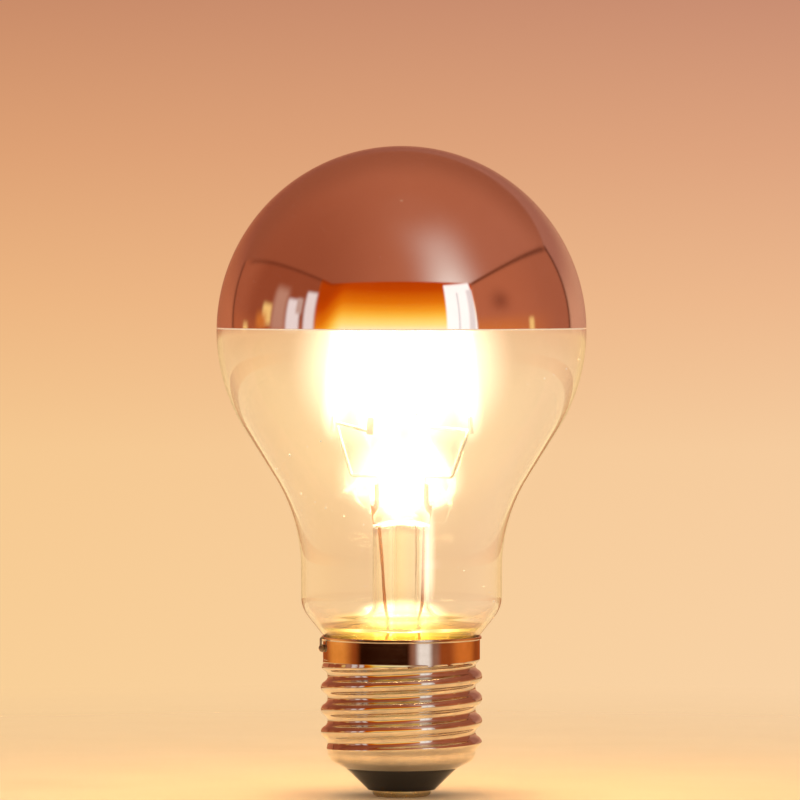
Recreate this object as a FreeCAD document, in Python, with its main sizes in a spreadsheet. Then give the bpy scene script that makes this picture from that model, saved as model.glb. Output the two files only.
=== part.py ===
"""A lit filament lamp with a silvered crown and a screw cap, in millimetres.

The origin is at the middle of the end contact and +Z runs up the lamp's axis. The front of the lamp faces -Y.
"""

import FreeCAD
import Part
import Sketcher
import math
import os

Vector = FreeCAD.Vector

# Driving dimensions

SIZES = [
    ("bulb_diameter", 60.0, "across the round glass"),
    ("glass_wall", 0.7, "blown glass"),
    ("cone_angle", 32.2, "glass below the sphere, from the vertical, in degrees"),
    ("neck_radius", 16.3, "outside of the glass neck"),
    ("neck_sweep_radius", 28.0, "hollow curve between cone and neck"),
    ("neck_length", 4.404, "straight neck"),
    ("neck_end_above_rim", 6.6, "lower end of the straight neck"),
    ("shoulder_radius", 5.5, "curve under the neck"),
    ("shoulder_angle", 38.0, "glass that runs into the cap, from the vertical, in degrees"),
    ("cement_thickness", 0.86, "between the skirt and the glass inside the cap"),
    ("tail_blend_radius", 1.5, "curve at the top of the tail"),
    ("tail_depth", 4.4, "from the rim down to the end of the glass"),
    ("crown_edge", 0.3, "edge of the silvering above the middle of the sphere"),
    ("silver_thickness", 0.12, "silvered skin"),
    ("cap_height", 26.0, "from the end contact to the rim"),
    ("sheet_wall", 0.28, "rolled sheet of the cap"),
    ("rim_band", 0.9, "height of the widened rim"),
    ("rim_step_height", 0.35, "height of the step below the widened rim"),
    ("crest_radius", 13.1, "screw, over the crests"),
    ("skirt_inset", 0.36, "plain band under the rim, in from the crests"),
    ("rim_reach", 0.26, "outer edge of the rim, out from that band"),
    ("round_radius", 1.025, "rounded crest and root of the screw"),
    ("screw_pitch", 3.629, "one turn of the screw"),
    ("screw_start", 7.0, "lower end of the screw above the contact"),
    ("screw_end_below_rim", 2.9, "upper end of the screw"),
    ("runout_share", 0.55, "share of a pitch over which the screw fades"),
    ("groove_below_rim", 4.7, "middle of the uppermost groove on the +X side"),
    ("lip_curve_radius", 1.6, "curve under the screw"),
    ("lip_angle", 62.0, "turn of that curve, in degrees"),
    ("lip_length", 2.0, "straight part of the turned-in lip"),
    ("insulator_rise", 1.2, "inner face of the black glass above the screw's lower end"),
    ("insulator_dish", 1.2, "depth of the dish in that face"),
    ("insulator_foot", 0.95, "black glass beyond the contact's edge"),
    ("insulator_edge", 0.45, "its small bevels"),
    ("insulator_land", 1.0, "flat top of its outer and inner rings"),
    ("contact_radius", 4.75, "end contact"),
    ("contact_thickness", 1.0, "head of the end contact"),
    ("contact_edge_radius", 0.8, "rounding of the contact's edge"),
    ("shank_radius", 1.3, "pin of the end contact"),
    ("shank_above_glass", 1.0, "pin above the black glass"),
    ("wire_radius", 0.25, "thin wires"),
    ("lead_radius", 0.3, "wires that carry the strips"),
    ("wire_play", 0.02, "play round a wire in glass or solder"),
    ("hole_play", 0.08, "play round a wire in the board and the pin"),
    ("stem_radius", 4.7, "outside of the stem tube"),
    ("stem_wall", 0.6, "stem tube and flare"),
    ("flare_above_rim", 5.0, "where the tube starts to flare"),
    ("flare_curve_radius", 2.2, "outer curve of the flare"),
    ("flare_angle", 82.0, "turn of that curve, in degrees"),
    ("tube_length", 14.0, "round tube above the flare"),
    ("pinch_width", 10.2, "flattened glass, side to side"),
    ("pinch_thickness", 5.0, "flattened glass, front to back"),
    ("pinch_corner", 1.9, "rounding of its corners"),
    ("pinch_taper", 3.2, "from round to flattened"),
    ("pinch_height", 2.8, "flattened glass"),
    ("lead_spread", 3.75, "sealed wires from the axis"),
    ("exhaust_radius", 2.2, "sealed-off pumping tube"),
    ("exhaust_wall", 0.6, "its glass"),
    ("exhaust_offset", 0.7, "its place beside the axis"),
    ("exhaust_clearance", 2.4, "its sealed end above the board"),
    ("port_radius", 0.9, "pumping port in the flattened glass"),
    ("outlet_radius", 0.7, "where the port comes out at the back"),
    ("rod_radius", 1.87, "glass rod above the flattened glass"),
    ("rod_foot_height", 5.4, "widened foot of the rod"),
    ("rod_foot_curve", 14.0, "hollow curve of that foot"),
    ("ball_radius", 2.3, "ball on the rod"),
    ("ball_rise", 1.09, "middle of the ball above the strips"),
    ("bridge_spacing", 0.9, "between the two crossing wires in the ball"),
    ("strip_angle", -24.0, "first light strip, from +X, in degrees"),
    ("strip_ring_radius", 12.4, "lower ends of the strips from the axis"),
    ("strip_rise", 2.406, "middle of the strips above the middle of the sphere"),
    ("lean_angle", 8.2, "lean towards the axis, in degrees"),
    ("strip_length", 38.0, "over the end tabs"),
    ("tab_length", 2.8, "bare tab at each end of a strip"),
    ("tab_width", 1.1, "end tab"),
    ("carrier_width", 0.7, "strip inside the coating"),
    ("carrier_thickness", 0.35, "strip and tabs"),
    ("coating_width", 1.6, "glowing coating"),
    ("coating_thickness", 1.3, "glowing coating"),
    ("coating_play", 0.02, "between coating and strip"),
    ("weld_gap", 0.03, "between a wire and the tab it is welded to"),
    ("elbow_height", 1.1, "first bend of a lead wire above the flattened glass"),
    ("elbow_reach", 8.9, "second bend of a lead wire from the axis"),
    ("bar_height", 0.4, "cross bars above the strips' lower ends"),
    ("left_bar_rise", 1.0, "extra height of the left cross bar at the back"),
    ("board_gap", 5.8, "from the black glass up to the driver board"),
    ("board_thickness", 1.2, "driver board"),
    ("board_play", 0.3, "between the board's edge and the screw shell"),
    ("tail_of_wire", 0.5, "end of a wire below the board"),
    ("can_radius", 2.9, "capacitor"),
    ("can_height", 7.0, "capacitor"),
    ("can_inset", 1.41, "capacitor in from the board's edge"),
    ("can_angle", 14.0, "its direction from +X"),
    ("resistor_radius", 1.2, "fusible resistor"),
    ("resistor_length", 6.4, "its body"),
    ("resistor_drop", 2.4, "its axis below the board"),
    ("resistor_place", 3.2, "its axis in front of the middle"),
    ("resistor_lead", 1.2, "straight lead beyond each end of its body"),
    ("bridge_length", 4.7, "rectifier"),
    ("bridge_width", 3.9, "rectifier"),
    ("bridge_height", 1.6, "rectifier"),
    ("chip_length", 4.9, "driver chip"),
    ("chip_width", 3.0, "driver chip"),
    ("chip_height", 1.4, "driver chip"),
    ("chip_inset", 1.42, "rectifier and chip in from the board's edge"),
    ("leg_width", 0.4, "flat legs"),
    ("leg_reach", 0.8, "flat legs out from the case"),
    ("bridge_pitch", 2.5, "between the rectifier's legs"),
    ("chip_pitch", 1.27, "between the chip's legs"),
    ("chip_resistor_length", 2.0, "small resistor"),
    ("chip_resistor_width", 1.25, "small resistor"),
    ("chip_resistor_height", 0.55, "small resistor"),
    ("chip_resistor_place", 5.0, "small resistors from the middle"),
    ("chip_resistor_gap", 1.0, "between the small resistors"),
    ("wire_bend", 2.0, "bends of an outer wire"),
    ("wire_clearance", 4.0, "straight end of an outer wire above the board"),
    ("centre_hole_across", 1.4, "hole of the centre wire"),
    ("centre_hole_along", 2.6, "hole of the centre wire"),
    ("centre_wire_drop", 1.2, "centre wire's first bend below the board"),
    ("side_wire_dip", 0.6, "side wire's bend below the glass"),
    ("side_wire_climb", 2.6, "rise of its slanted run"),
    ("side_hole_inset", 2.22, "hole of the side wire in from the board's edge"),
    ("side_angle", 190.0, "where the side wire crosses the rim, from +X, in degrees"),
    ("side_wire_radius", 0.18, "side wire"),
    ("side_wire_bend", 0.3, "tight bends of the side wire"),
    ("side_wire_off", 0.08, "side wire off the glass and the rim"),
    ("notch_depth", 0.75, "notch in the rim for the side wire"),
    ("solder_radius", 0.62, "drop of side solder"),
    ("solder_reach", 0.9, "side solder, out from the skirt"),
    ("solder_drop", 1.9, "side solder below the rim"),
]


class Size:
    """A number together with the formula that gives it from the sheet's cells."""

    def __init__(self, value, text):
        self.value = value
        self.text = text

    def joined(self, other, sign, result):
        return Size(result(self.value, other.value), f"({self.text} {sign} {other.text})")

    def __add__(self, other):
        return self.joined(as_size(other), "+", lambda a, b: a + b)

    def __radd__(self, other):
        return as_size(other) + self

    def __sub__(self, other):
        return self.joined(as_size(other), "-", lambda a, b: a - b)

    def __rsub__(self, other):
        return as_size(other) - self

    def __mul__(self, other):
        return self.joined(as_size(other), "*", lambda a, b: a * b)

    def __rmul__(self, other):
        return as_size(other) * self

    def __truediv__(self, other):
        return self.joined(as_size(other), "/", lambda a, b: a / b)

    def __neg__(self):
        return as_size(0) - self


def as_size(number):
    """The same thing as a Size, if it's a plain number."""
    return number if isinstance(number, Size) else Size(float(number), repr(float(number)))


def sine(angle):
    return Size(math.sin(math.radians(angle.value)), f"sin({angle.text})")


def cosine(angle):
    return Size(math.cos(math.radians(angle.value)), f"cos({angle.text})")


def tangent(angle):
    return Size(math.tan(math.radians(angle.value)), f"tan({angle.text})")


def root(number):
    return Size(math.sqrt(number.value), f"sqrt({number.text})")


def around(centre, radius, angle):
    """The point of a circle at an angle from the x direction."""
    return (centre[0] + radius * cosine(angle), centre[1] + radius * sine(angle))


doc = FreeCAD.newDocument("SilverCrownLamp")
sheet = doc.addObject("Spreadsheet::Sheet", "Sizes")
for row, (alias, number, note) in enumerate(SIZES, start=1):
    sheet.set(f"A{row}", alias)
    sheet.set(f"B{row}", str(number))
    sheet.set(f"C{row}", note)
    sheet.setAlias(f"B{row}", alias)
doc.recompute()


def cell(alias):
    """The sheet's cell of that name, as a Size."""
    return Size(float(sheet.get(alias)), f"Sizes.{alias}")


nodes = {}


def keep(thing, name):
    """Label a finished sub-part, so that it's written out."""
    thing.Label = name
    nodes[name] = thing
    return thing


def place(thing, x=0, y=0, z=0, turn=0, lean=0):
    """Bind a sub-part's Placement: turned about Z, then leaned about its own Y, then moved."""
    x, y, z, turn, lean = (as_size(number).text for number in (x, y, z, turn, lean))
    spin = f"rotation(vector(0; 0; 1); {turn}) * rotation(vector(0; 1; 0); {lean})"
    thing.setExpression("Placement", f"placement(vector({x}; {y}; {z}); {spin})")


# Sketches and features


def new_body(name):
    return doc.addObject("PartDesign::Body", name)


def new_sketch(body, name, role, level=0):
    """A sketch on one of the body's own origin planes, moved along that plane's normal by level."""
    sketch = body.newObject("Sketcher::SketchObject", name)
    plane = [item for item in body.Origin.OriginFeatures if item.Role == role][0]
    sketch.AttachmentSupport = [(plane, "")]
    sketch.MapMode = "FlatFace"
    sketch.setExpression("AttachmentOffset.Base.z", as_size(level).text)
    return sketch


def hold(sketch, kind, *where, size):
    """Add a dimension to a sketch, bound to its formula."""
    index = sketch.addConstraint(Sketcher.Constraint(kind, *where, size.value))
    sketch.setExpression(f"Constraints[{index}]", size.text)


def line_to(x, y):
    return (as_size(x), as_size(y), None)


def arc_to(x, y, centre, radius, turn):
    """An arc to (x, y); turn is 1 if it runs anticlockwise and -1 if clockwise."""
    return (as_size(x), as_size(y), (centre, as_size(radius), turn))


def angle_at(centre, point):
    return math.atan2(point[1].value - centre[1].value, point[0].value - centre[0].value)


def add_outline(sketch, start, steps):
    """Add a closed outline, each corner and radius held by its formula. The last step ends at the start."""
    here = (as_size(start[0]), as_size(start[1]))
    joints = []
    for x, y, arc in steps:
        there = (x, y)
        if arc is None:
            points = [Vector(p[0].value, p[1].value, 0) for p in (here, there)]
            index = sketch.addGeometry(Part.LineSegment(*points), False)
            joints.append((index, 1, 2, here))
        else:
            centre, radius, turn = arc
            centre = (as_size(centre[0]), as_size(centre[1]))
            low, high = (here, there) if turn > 0 else (there, here)
            first = angle_at(centre, low)
            last = angle_at(centre, high)
            if last <= first:
                last += 2 * math.pi
            middle = Vector(centre[0].value, centre[1].value, 0)
            circle = Part.Circle(middle, Vector(0, 0, 1), radius.value)
            index = sketch.addGeometry(Part.ArcOfCircle(circle, first, last), False)
            ends = (1, 2) if turn > 0 else (2, 1)
            joints.append((index, *ends, here))
            hold(sketch, "Radius", index, size=radius)
        here = there
    for number, (index, first, last, point) in enumerate(joints):
        after = joints[(number + 1) % len(joints)]
        sketch.addConstraint(Sketcher.Constraint("Coincident", index, last, after[0], after[1]))
        hold(sketch, "DistanceX", -1, 1, index, first, size=point[0])
        hold(sketch, "DistanceY", -1, 1, index, first, size=point[1])


def add_circle(sketch, x, y, radius):
    x, y, radius = as_size(x), as_size(y), as_size(radius)
    circle = Part.Circle(Vector(x.value, y.value, 0), Vector(0, 0, 1), radius.value)
    index = sketch.addGeometry(circle, False)
    hold(sketch, "DistanceX", -1, 1, index, 3, size=x)
    hold(sketch, "DistanceY", -1, 1, index, 3, size=y)
    hold(sketch, "Radius", index, size=radius)


def rectangle(sketch, width, depth, x=0, y=0):
    """A rectangle about (x, y)."""
    left, right = as_size(x) - width / 2, as_size(x) + width / 2
    low, high = as_size(y) - depth / 2, as_size(y) + depth / 2
    corners = [(right, low), (right, high), (left, high), (left, low)]
    add_outline(sketch, corners[-1], [line_to(*corner) for corner in corners])


def rounded_rectangle(sketch, width, depth, corner):
    """A rectangle about the origin with rounded corners."""
    across, along = width / 2, depth / 2
    inner_across, inner_along = across - corner, along - corner
    steps = [
        line_to(inner_across, -along),
        arc_to(across, -inner_along, (inner_across, -inner_along), corner, 1),
        line_to(across, inner_along),
        arc_to(inner_across, along, (inner_across, inner_along), corner, 1),
        line_to(-inner_across, along),
        arc_to(-across, inner_along, (-inner_across, inner_along), corner, 1),
        line_to(-across, -inner_along),
        arc_to(-inner_across, -along, (-inner_across, -inner_along), corner, 1),
    ]
    add_outline(sketch, (-inner_across, -along), steps)


def turned(body, name, start, steps):
    """Turn an outline, drawn as distance from the axis and height, into a solid of revolution."""
    sketch = new_sketch(body, name + "Outline", "XZ_Plane")
    add_outline(sketch, start, steps)
    solid = body.newObject("PartDesign::Revolution", name)
    solid.Profile = sketch
    solid.ReferenceAxis = (sketch, ["V_Axis"])
    solid.Angle = 360
    return solid


def pad(body, name, sketch, length):
    solid = body.newObject("PartDesign::Pad", name)
    solid.Profile = sketch
    solid.setExpression("Length", as_size(length).text)
    return solid


def pocket(body, name, sketch, length, both_ways=False, upwards=False):
    cut = body.newObject("PartDesign::Pocket", name)
    cut.Profile = sketch
    cut.setExpression("Length", as_size(length).text)
    cut.Midplane = both_ways
    cut.Reversed = upwards
    return cut


# Bent wires


def bent_path(points, bend):
    """A wire of straight runs with a tangent arc of radius bend at each inner point."""
    spots = [Vector(*(as_size(number).value for number in point)) for point in points]
    edges = []
    here = spots[0]
    for before, corner, after in zip(spots, spots[1:], spots[2:]):
        back = (before - corner).normalize()
        ahead = (after - corner).normalize()
        half = back.getAngle(ahead) / 2
        reach = bend / math.tan(half)
        first = corner + back * reach
        last = corner + ahead * reach
        inward = (back + ahead).normalize()
        middle = corner + inward * (bend / math.sin(half) - bend)
        edges.append(Part.LineSegment(here, first).toShape())
        edges.append(Part.Arc(first, middle, last).toShape())
        here = last
    edges.append(Part.LineSegment(here, spots[-1]).toShape())
    return Part.Wire(edges)


def bent_wire(name, points, radius, bend):
    """Sweep a round wire along its bent path. The circle's radius is bound to the sheet."""
    path = doc.addObject("Part::Feature", name + "_path")
    path.Shape = bent_path(points, bend)
    first = path.Shape.Edges[0]
    section = doc.addObject("Part::Circle", name + "_section")
    section.setExpression("Radius", radius.text)
    heading = FreeCAD.Rotation(Vector(0, 0, 1), first.tangentAt(first.FirstParameter))
    section.Placement = FreeCAD.Placement(first.valueAt(first.FirstParameter), heading)
    wire = doc.addObject("Part::Sweep", name)
    wire.Sections = [section]
    wire.Spine = (path, [f"Edge{number + 1}" for number in range(len(path.Shape.Edges))])
    wire.Solid = True
    return keep(wire, name)


# Heights and radii that several sub-parts share


def root_radius():
    """Bottom of the screw's rounded groove, from the crest and the two arcs that meet at a quarter pitch."""
    arc, quarter_pitch = cell("round_radius"), cell("screw_pitch") / 4
    return cell("crest_radius") - 2 * (arc - root(arc * arc - quarter_pitch * quarter_pitch))


rim_level = cell("cap_height")
bulb_radius = cell("bulb_diameter") / 2
glass_wall = cell("glass_wall")
wire_radius = cell("wire_radius")
lead_radius = cell("lead_radius")
sheet_wall = cell("sheet_wall")
skirt_radius = cell("crest_radius") - cell("skirt_inset")
rim_radius = skirt_radius + cell("rim_reach")
tail_radius = skirt_radius - sheet_wall - cell("cement_thickness")
lead_spread = cell("lead_spread")
neck_end = rim_level + cell("neck_end_above_rim")
neck_top = neck_end + cell("neck_length")
flare_top = rim_level + cell("flare_above_rim")
tube_top = flare_top + cell("tube_length")
pinch_base = tube_top + cell("pinch_taper")
pinch_top = pinch_base + cell("pinch_height")
insulator_top = cell("screw_start") + cell("insulator_rise")
board_level = insulator_top + cell("board_gap")
board_top = board_level + cell("board_thickness")
board_radius = root_radius() - sheet_wall - cell("board_play")
lean_angle = cell("lean_angle")
strip_length = cell("strip_length")
side_angle = cell("side_angle")
side_radius = cell("side_wire_radius")
side_way = side_radius + cell("wire_play")


def sphere_middle():
    """Height of the sphere's middle: above the neck, the hollow sweep and the cone."""
    cone, sweep = cell("cone_angle"), cell("neck_sweep_radius")
    across = bulb_radius * cosine(cone) - cell("neck_radius") - sweep * (1 - cosine(cone))
    return neck_top + (bulb_radius + sweep) * sine(cone) + across / tangent(cone)


centre_level = sphere_middle()
strip_foot = centre_level + cell("strip_rise") - strip_length * cosine(lean_angle) / 2
ball_level = strip_foot + strip_length * cosine(lean_angle) + cell("ball_rise")


def glass_side(inset):
    """Points of the glass's side, set in by inset along its normal, from the sphere down to the tail's end."""
    cone, slope = cell("cone_angle"), cell("shoulder_angle")
    sweep, shoulder = cell("neck_sweep_radius"), cell("shoulder_radius")
    blend, neck, tail = cell("tail_blend_radius"), cell("neck_radius"), tail_radius
    side = {"sphere": (as_size(0), centre_level), "sphere_radius": bulb_radius - inset}
    side["sweep"] = (neck + sweep, neck_top)
    side["sweep_radius"] = sweep + inset
    side["shoulder"] = (neck - shoulder, neck_end)
    side["shoulder_radius"] = shoulder - inset
    side["blend"] = (tail + blend, None)
    side["blend_radius"] = blend + inset
    side["sphere_end"] = around(side["sphere"], side["sphere_radius"], -cone)
    side["sweep_start"] = around(side["sweep"], side["sweep_radius"], 180 - cone)
    side["sweep_end"] = (neck - inset, neck_top)
    side["neck_end"] = (neck - inset, neck_end)
    side["shoulder_end"] = around(side["shoulder"], side["shoulder_radius"], -slope)
    outer_end = around(side["shoulder"], shoulder, -slope)
    outer_start = tail + blend * (1 - cosine(slope))
    run_down = (outer_end[0] - outer_start) / tangent(slope)
    side["blend"] = (tail + blend, outer_end[1] - run_down - blend * sine(slope))
    side["blend_start"] = around(side["blend"], side["blend_radius"], 180 - slope)
    side["blend_end"] = (tail - inset, side["blend"][1])
    side["tail_end"] = (tail - inset, rim_level - cell("tail_depth"))
    return side


def make_glass_bulb():
    """Blown envelope: sphere, cone, hollow sweep, neck, shoulder and the tail that stands in the cap."""
    body = new_body("GlassBulb")
    outer, inner = glass_side(as_size(0)), glass_side(glass_wall)
    outer_steps = [
        arc_to(*outer["sphere_end"], outer["sphere"], outer["sphere_radius"], -1),
        line_to(*outer["sweep_start"]),
        arc_to(*outer["sweep_end"], outer["sweep"], outer["sweep_radius"], 1),
        line_to(*outer["neck_end"]),
        arc_to(*outer["shoulder_end"], outer["shoulder"], outer["shoulder_radius"], -1),
        line_to(*outer["blend_start"]),
        arc_to(*outer["blend_end"], outer["blend"], outer["blend_radius"], 1),
        line_to(*outer["tail_end"]),
        line_to(*inner["tail_end"]),
    ]
    inner_steps = [
        line_to(*inner["blend_end"]),
        arc_to(*inner["blend_start"], inner["blend"], inner["blend_radius"], -1),
        line_to(*inner["shoulder_end"]),
        arc_to(*inner["neck_end"], inner["shoulder"], inner["shoulder_radius"], 1),
        line_to(*inner["sweep_end"]),
        arc_to(*inner["sweep_start"], inner["sweep"], inner["sweep_radius"], -1),
        line_to(*inner["sphere_end"]),
        arc_to(0, centre_level + inner["sphere_radius"], inner["sphere"], inner["sphere_radius"], 1),
        line_to(0, centre_level + bulb_radius),
    ]
    turned(body, "Envelope", (0, centre_level + bulb_radius), outer_steps + inner_steps)
    keep(body, "glass_bulb")


def make_silver_crown():
    """Mirror skin on the inside of the glass, down to a sharp edge just above the sphere's middle."""
    body = new_body("SilverCrown")
    outer = bulb_radius - glass_wall
    inner = outer - cell("silver_thickness")
    rise = cell("crown_edge")
    edge = centre_level + rise
    middle = (as_size(0), centre_level)
    steps = [
        arc_to(root(outer * outer - rise * rise), edge, middle, outer, -1),
        line_to(root(inner * inner - rise * rise), edge),
        arc_to(0, centre_level + inner, middle, inner, 1),
        line_to(0, centre_level + outer),
    ]
    turned(body, "Skin", (0, centre_level + outer), steps)
    keep(body, "silver_crown")


def make_glass_stem():
    """Flare sealed to the shoulder's inside, its tube, and the flattened glass that holds the wires."""
    body = new_body("GlassStem")
    wall, radius = cell("stem_wall"), cell("stem_radius")
    curve, turn = cell("flare_curve_radius"), cell("flare_angle")
    side = glass_side(glass_wall + cell("wire_play"))
    middle = (radius + curve, flare_top)
    slope = cell("shoulder_angle")

    def rim_point(curve_radius):
        """Where the flare's straight part, that far from the curve's centre, meets the shoulder's inside."""
        start = around(middle, curve_radius, 180 + turn)
        edge = side["shoulder_end"]
        gap = (edge[0] - start[0]) - (edge[1] - start[1]) * tangent(slope)
        along = gap / (sine(turn) + cosine(turn) * tangent(slope))
        return (start[0] + along * sine(turn), start[1] - along * cosine(turn))

    outer_rim, inner_rim = rim_point(curve), rim_point(curve + wall)
    steps = [
        line_to(radius, middle[1]),
        arc_to(*around(middle, curve, 180 + turn), middle, curve, 1),
        line_to(*outer_rim),
        line_to(*inner_rim),
        line_to(*around(middle, curve + wall, 180 + turn)),
        arc_to(radius - wall, middle[1], middle, curve + wall, -1),
        line_to(radius - wall, tube_top),
    ]
    turned(body, "FlareAndTube", (radius - wall, tube_top), [line_to(radius, tube_top), *steps])
    width, thickness = cell("pinch_width"), cell("pinch_thickness")
    lower = new_sketch(body, "TubeEnd", "XY_Plane", tube_top)
    add_circle(lower, 0, 0, radius)
    upper = new_sketch(body, "PinchSection", "XY_Plane", pinch_base)
    rounded_rectangle(upper, width, thickness, cell("pinch_corner"))
    loft = body.newObject("PartDesign::AdditiveLoft", "PinchTaper")
    loft.Profile = lower
    loft.Sections = [upper]
    top = new_sketch(body, "PinchTop", "XY_Plane", pinch_base)
    rounded_rectangle(top, width, thickness, cell("pinch_corner"))
    pad(body, "Pinch", top, pinch_top - pinch_base)
    doc.recompute()
    seals = new_sketch(body, "WireSeals", "XY_Plane", pinch_top)
    for x in (lead_spread, -lead_spread):
        add_circle(seals, x, 0, wire_radius + cell("wire_play"))
    pocket(body, "WireHoles", seals, pinch_top - tube_top)
    port = new_sketch(body, "PortBottom", "XY_Plane", tube_top)
    port_rise = pinch_base - tube_top
    add_circle(port, cell("exhaust_offset"), 0, cell("port_radius"))
    pocket(body, "PortRise", port, port_rise, upwards=True)
    outlet = new_sketch(body, "PortOutlet", "XZ_Plane")
    outlet_level = tube_top + port_rise - 2 * cell("outlet_radius")
    add_circle(outlet, cell("exhaust_offset"), outlet_level, cell("outlet_radius"))
    pocket(body, "PortExit", outlet, radius, upwards=True)
    keep(body, "glass_stem")


def make_exhaust_tube():
    """Pumping tube inside the stem, open at the port and melted shut at its lower tip."""
    body = new_body("ExhaustTube")
    outer, wall = cell("exhaust_radius"), cell("exhaust_wall")
    inner = outer - wall
    tip = board_top + cell("exhaust_clearance")
    outer_middle = (as_size(0), tip + outer)
    steps = [
        line_to(outer, tip + outer),
        arc_to(0, tip, outer_middle, outer, -1),
        line_to(0, tip + wall),
        arc_to(inner, tip + outer, outer_middle, inner, 1),
        line_to(inner, tube_top),
    ]
    turned(body, "Tube", (inner, tube_top), [line_to(outer, tube_top), *steps])
    place(body, x=cell("exhaust_offset"))
    keep(body, "exhaust_tube")


def bridge_levels():
    """Heights of the two wires that cross inside the ball."""
    half = cell("bridge_spacing") / 2
    return ball_level - half, ball_level + half


def make_centre_rod():
    """Glass rod on the flattened glass: widened foot, straight rod and the ball that grips the bridge wires."""
    body = new_body("CentreRod")
    radius, ball = cell("rod_radius"), cell("ball_radius")
    foot, curve = cell("rod_foot_height"), cell("rod_foot_curve")
    foot_radius = radius + curve - root(curve * curve - foot * foot)
    ball_start = ball_level - root(ball * ball - radius * radius)
    ball_middle = (as_size(0), ball_level)
    steps = [
        line_to(foot_radius, pinch_top),
        arc_to(radius, pinch_top + foot, (radius + curve, pinch_top + foot), curve, -1),
        line_to(radius, ball_start),
        arc_to(0, ball_level + ball, ball_middle, ball, 1),
        line_to(0, pinch_top),
    ]
    turned(body, "Rod", (0, pinch_top), steps)
    hole = wire_radius + cell("wire_play")
    for level, role in zip(bridge_levels(), ("YZ_Plane", "XZ_Plane")):
        sketch = new_sketch(body, "Bore" + role[:2], role)
        add_circle(sketch, 0, level, hole)
        pocket(body, "BridgeHole" + role[:2], sketch, ball * 3, both_ways=True)
    place(body, turn=cell("strip_angle"))
    keep(body, "centre_rod")


# Light strips and the wires that carry them

STRIPS = 4


def strip_angle(number):
    return cell("strip_angle") + 90 * number


def place_strip(body, number):
    """Stand a strip on the lower ring, leaning towards the axis."""
    radius, turn = cell("strip_ring_radius"), strip_angle(number)
    place(
        body,
        x=radius * cosine(turn),
        y=radius * sine(turn),
        z=strip_foot,
        turn=turn,
        lean=-lean_angle,
    )


def make_strip(number):
    """One light strip: a thin carrier with an end tab at each end, inside its round-edged coating."""
    length, tab = strip_length, cell("tab_length")
    thin, wide = cell("carrier_width") / 2, cell("tab_width") / 2
    thickness = cell("carrier_thickness")
    carrier = new_body(f"Carrier{number}")
    plan = new_sketch(carrier, f"CarrierPlan{number}", "YZ_Plane", -thickness / 2)
    neck = tab - cell("tab_width") / 4
    steps = [
        line_to(wide, 0),
        line_to(wide, neck),
        line_to(thin, neck),
        line_to(thin, length - neck),
        line_to(wide, length - neck),
        line_to(wide, length),
        line_to(-wide, length),
        line_to(-wide, length - neck),
        line_to(-thin, length - neck),
        line_to(-thin, neck),
        line_to(-wide, neck),
        line_to(-wide, 0),
    ]
    add_outline(plan, (-wide, 0), steps)
    pad(carrier, f"CarrierSheet{number}", plan, thickness)
    place_strip(carrier, number - 1)
    keep(carrier, f"filament_{number}_carrier")

    coating = new_body(f"Coating{number}")
    section = new_sketch(coating, f"CoatingSection{number}", "XY_Plane", tab)
    depth, breadth = cell("coating_thickness"), cell("coating_width")
    rounded_rectangle(section, depth, breadth, depth * 0.42)
    slot = cell("coating_play") * 2
    rectangle(section, thickness + slot, cell("carrier_width") + slot)
    pad(coating, f"CoatingLength{number}", section, length - 2 * tab)
    place_strip(coating, number - 1)
    keep(coating, f"filament_{number}_phosphor")


def beside_strip(number, level, wire):
    """Centre of a wire that lies against the inner face of a strip at that height."""
    middle = cell("strip_ring_radius") - (level - strip_foot) * tangent(lean_angle)
    inset = (cell("carrier_thickness") / 2 + wire + cell("weld_gap")) / cosine(lean_angle)
    turn = strip_angle(number)
    return ((middle - inset) * cosine(turn), (middle - inset) * sine(turn), level)


def make_lead_wire(name, side, number, rise):
    """Wire from the flattened glass out and up to one strip, then across to the next as a bar."""
    bar = strip_foot + cell("bar_height")
    elbow = pinch_top + cell("elbow_height")
    reach, turn = cell("elbow_reach"), strip_angle(number)
    start = (lead_spread * side, 0, pinch_top)
    points = [
        start,
        (lead_spread * side, 0, elbow),
        (reach * cosine(turn), reach * sine(turn), elbow),
        beside_strip(number, bar + rise, lead_radius),
        beside_strip(number + 1, bar, lead_radius),
    ]
    bent_wire(name, points, lead_radius, 2 * lead_radius.value)


def make_bridge_wire(name, number, level):
    """Wire that joins the upper ends of two opposite strips through the ball."""
    tab_middle = strip_foot + (strip_length - cell("tab_length") * 0.6) * cosine(lean_angle)
    near, far = number, number + 2
    points = [
        beside_strip(near, tab_middle, wire_radius),
        beside_strip(near, level, wire_radius),
        beside_strip(far, level, wire_radius),
        beside_strip(far, tab_middle, wire_radius),
    ]
    bent_wire(name, points, wire_radius, 3 * wire_radius.value)


def make_seal_wire(name, side):
    """Short wire sealed in the flattened glass."""
    body = new_body(name.title().replace("_", ""))
    section = new_sketch(body, name + "_circle", "XY_Plane", tube_top)
    add_circle(section, lead_spread * side, 0, wire_radius)
    pad(body, name + "_length", section, pinch_top - tube_top)
    keep(body, name)


# The outer wires' way down the stem: each point's place across and along, as shares of the spread of the
# sealed wires, and its height above the flare, as a share of the tube's length. Then their holes, as shares of
# the board's radius.

LEFT_ROUTE = [(-0.85, -0.05, 0.57), (-0.72, -0.24, 0.07), (-0.56, -0.67, -0.29)]
RIGHT_ROUTE = [(0.95, -0.05, 0.5), (0.88, -0.24, 0.04), (0.72, -0.61, -0.24)]
LEFT_HOLE = (-0.385, -0.385)
RIGHT_HOLE = (0.315, -0.315)


def on_board(shares):
    return tuple(board_radius * share for share in shares)


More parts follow.
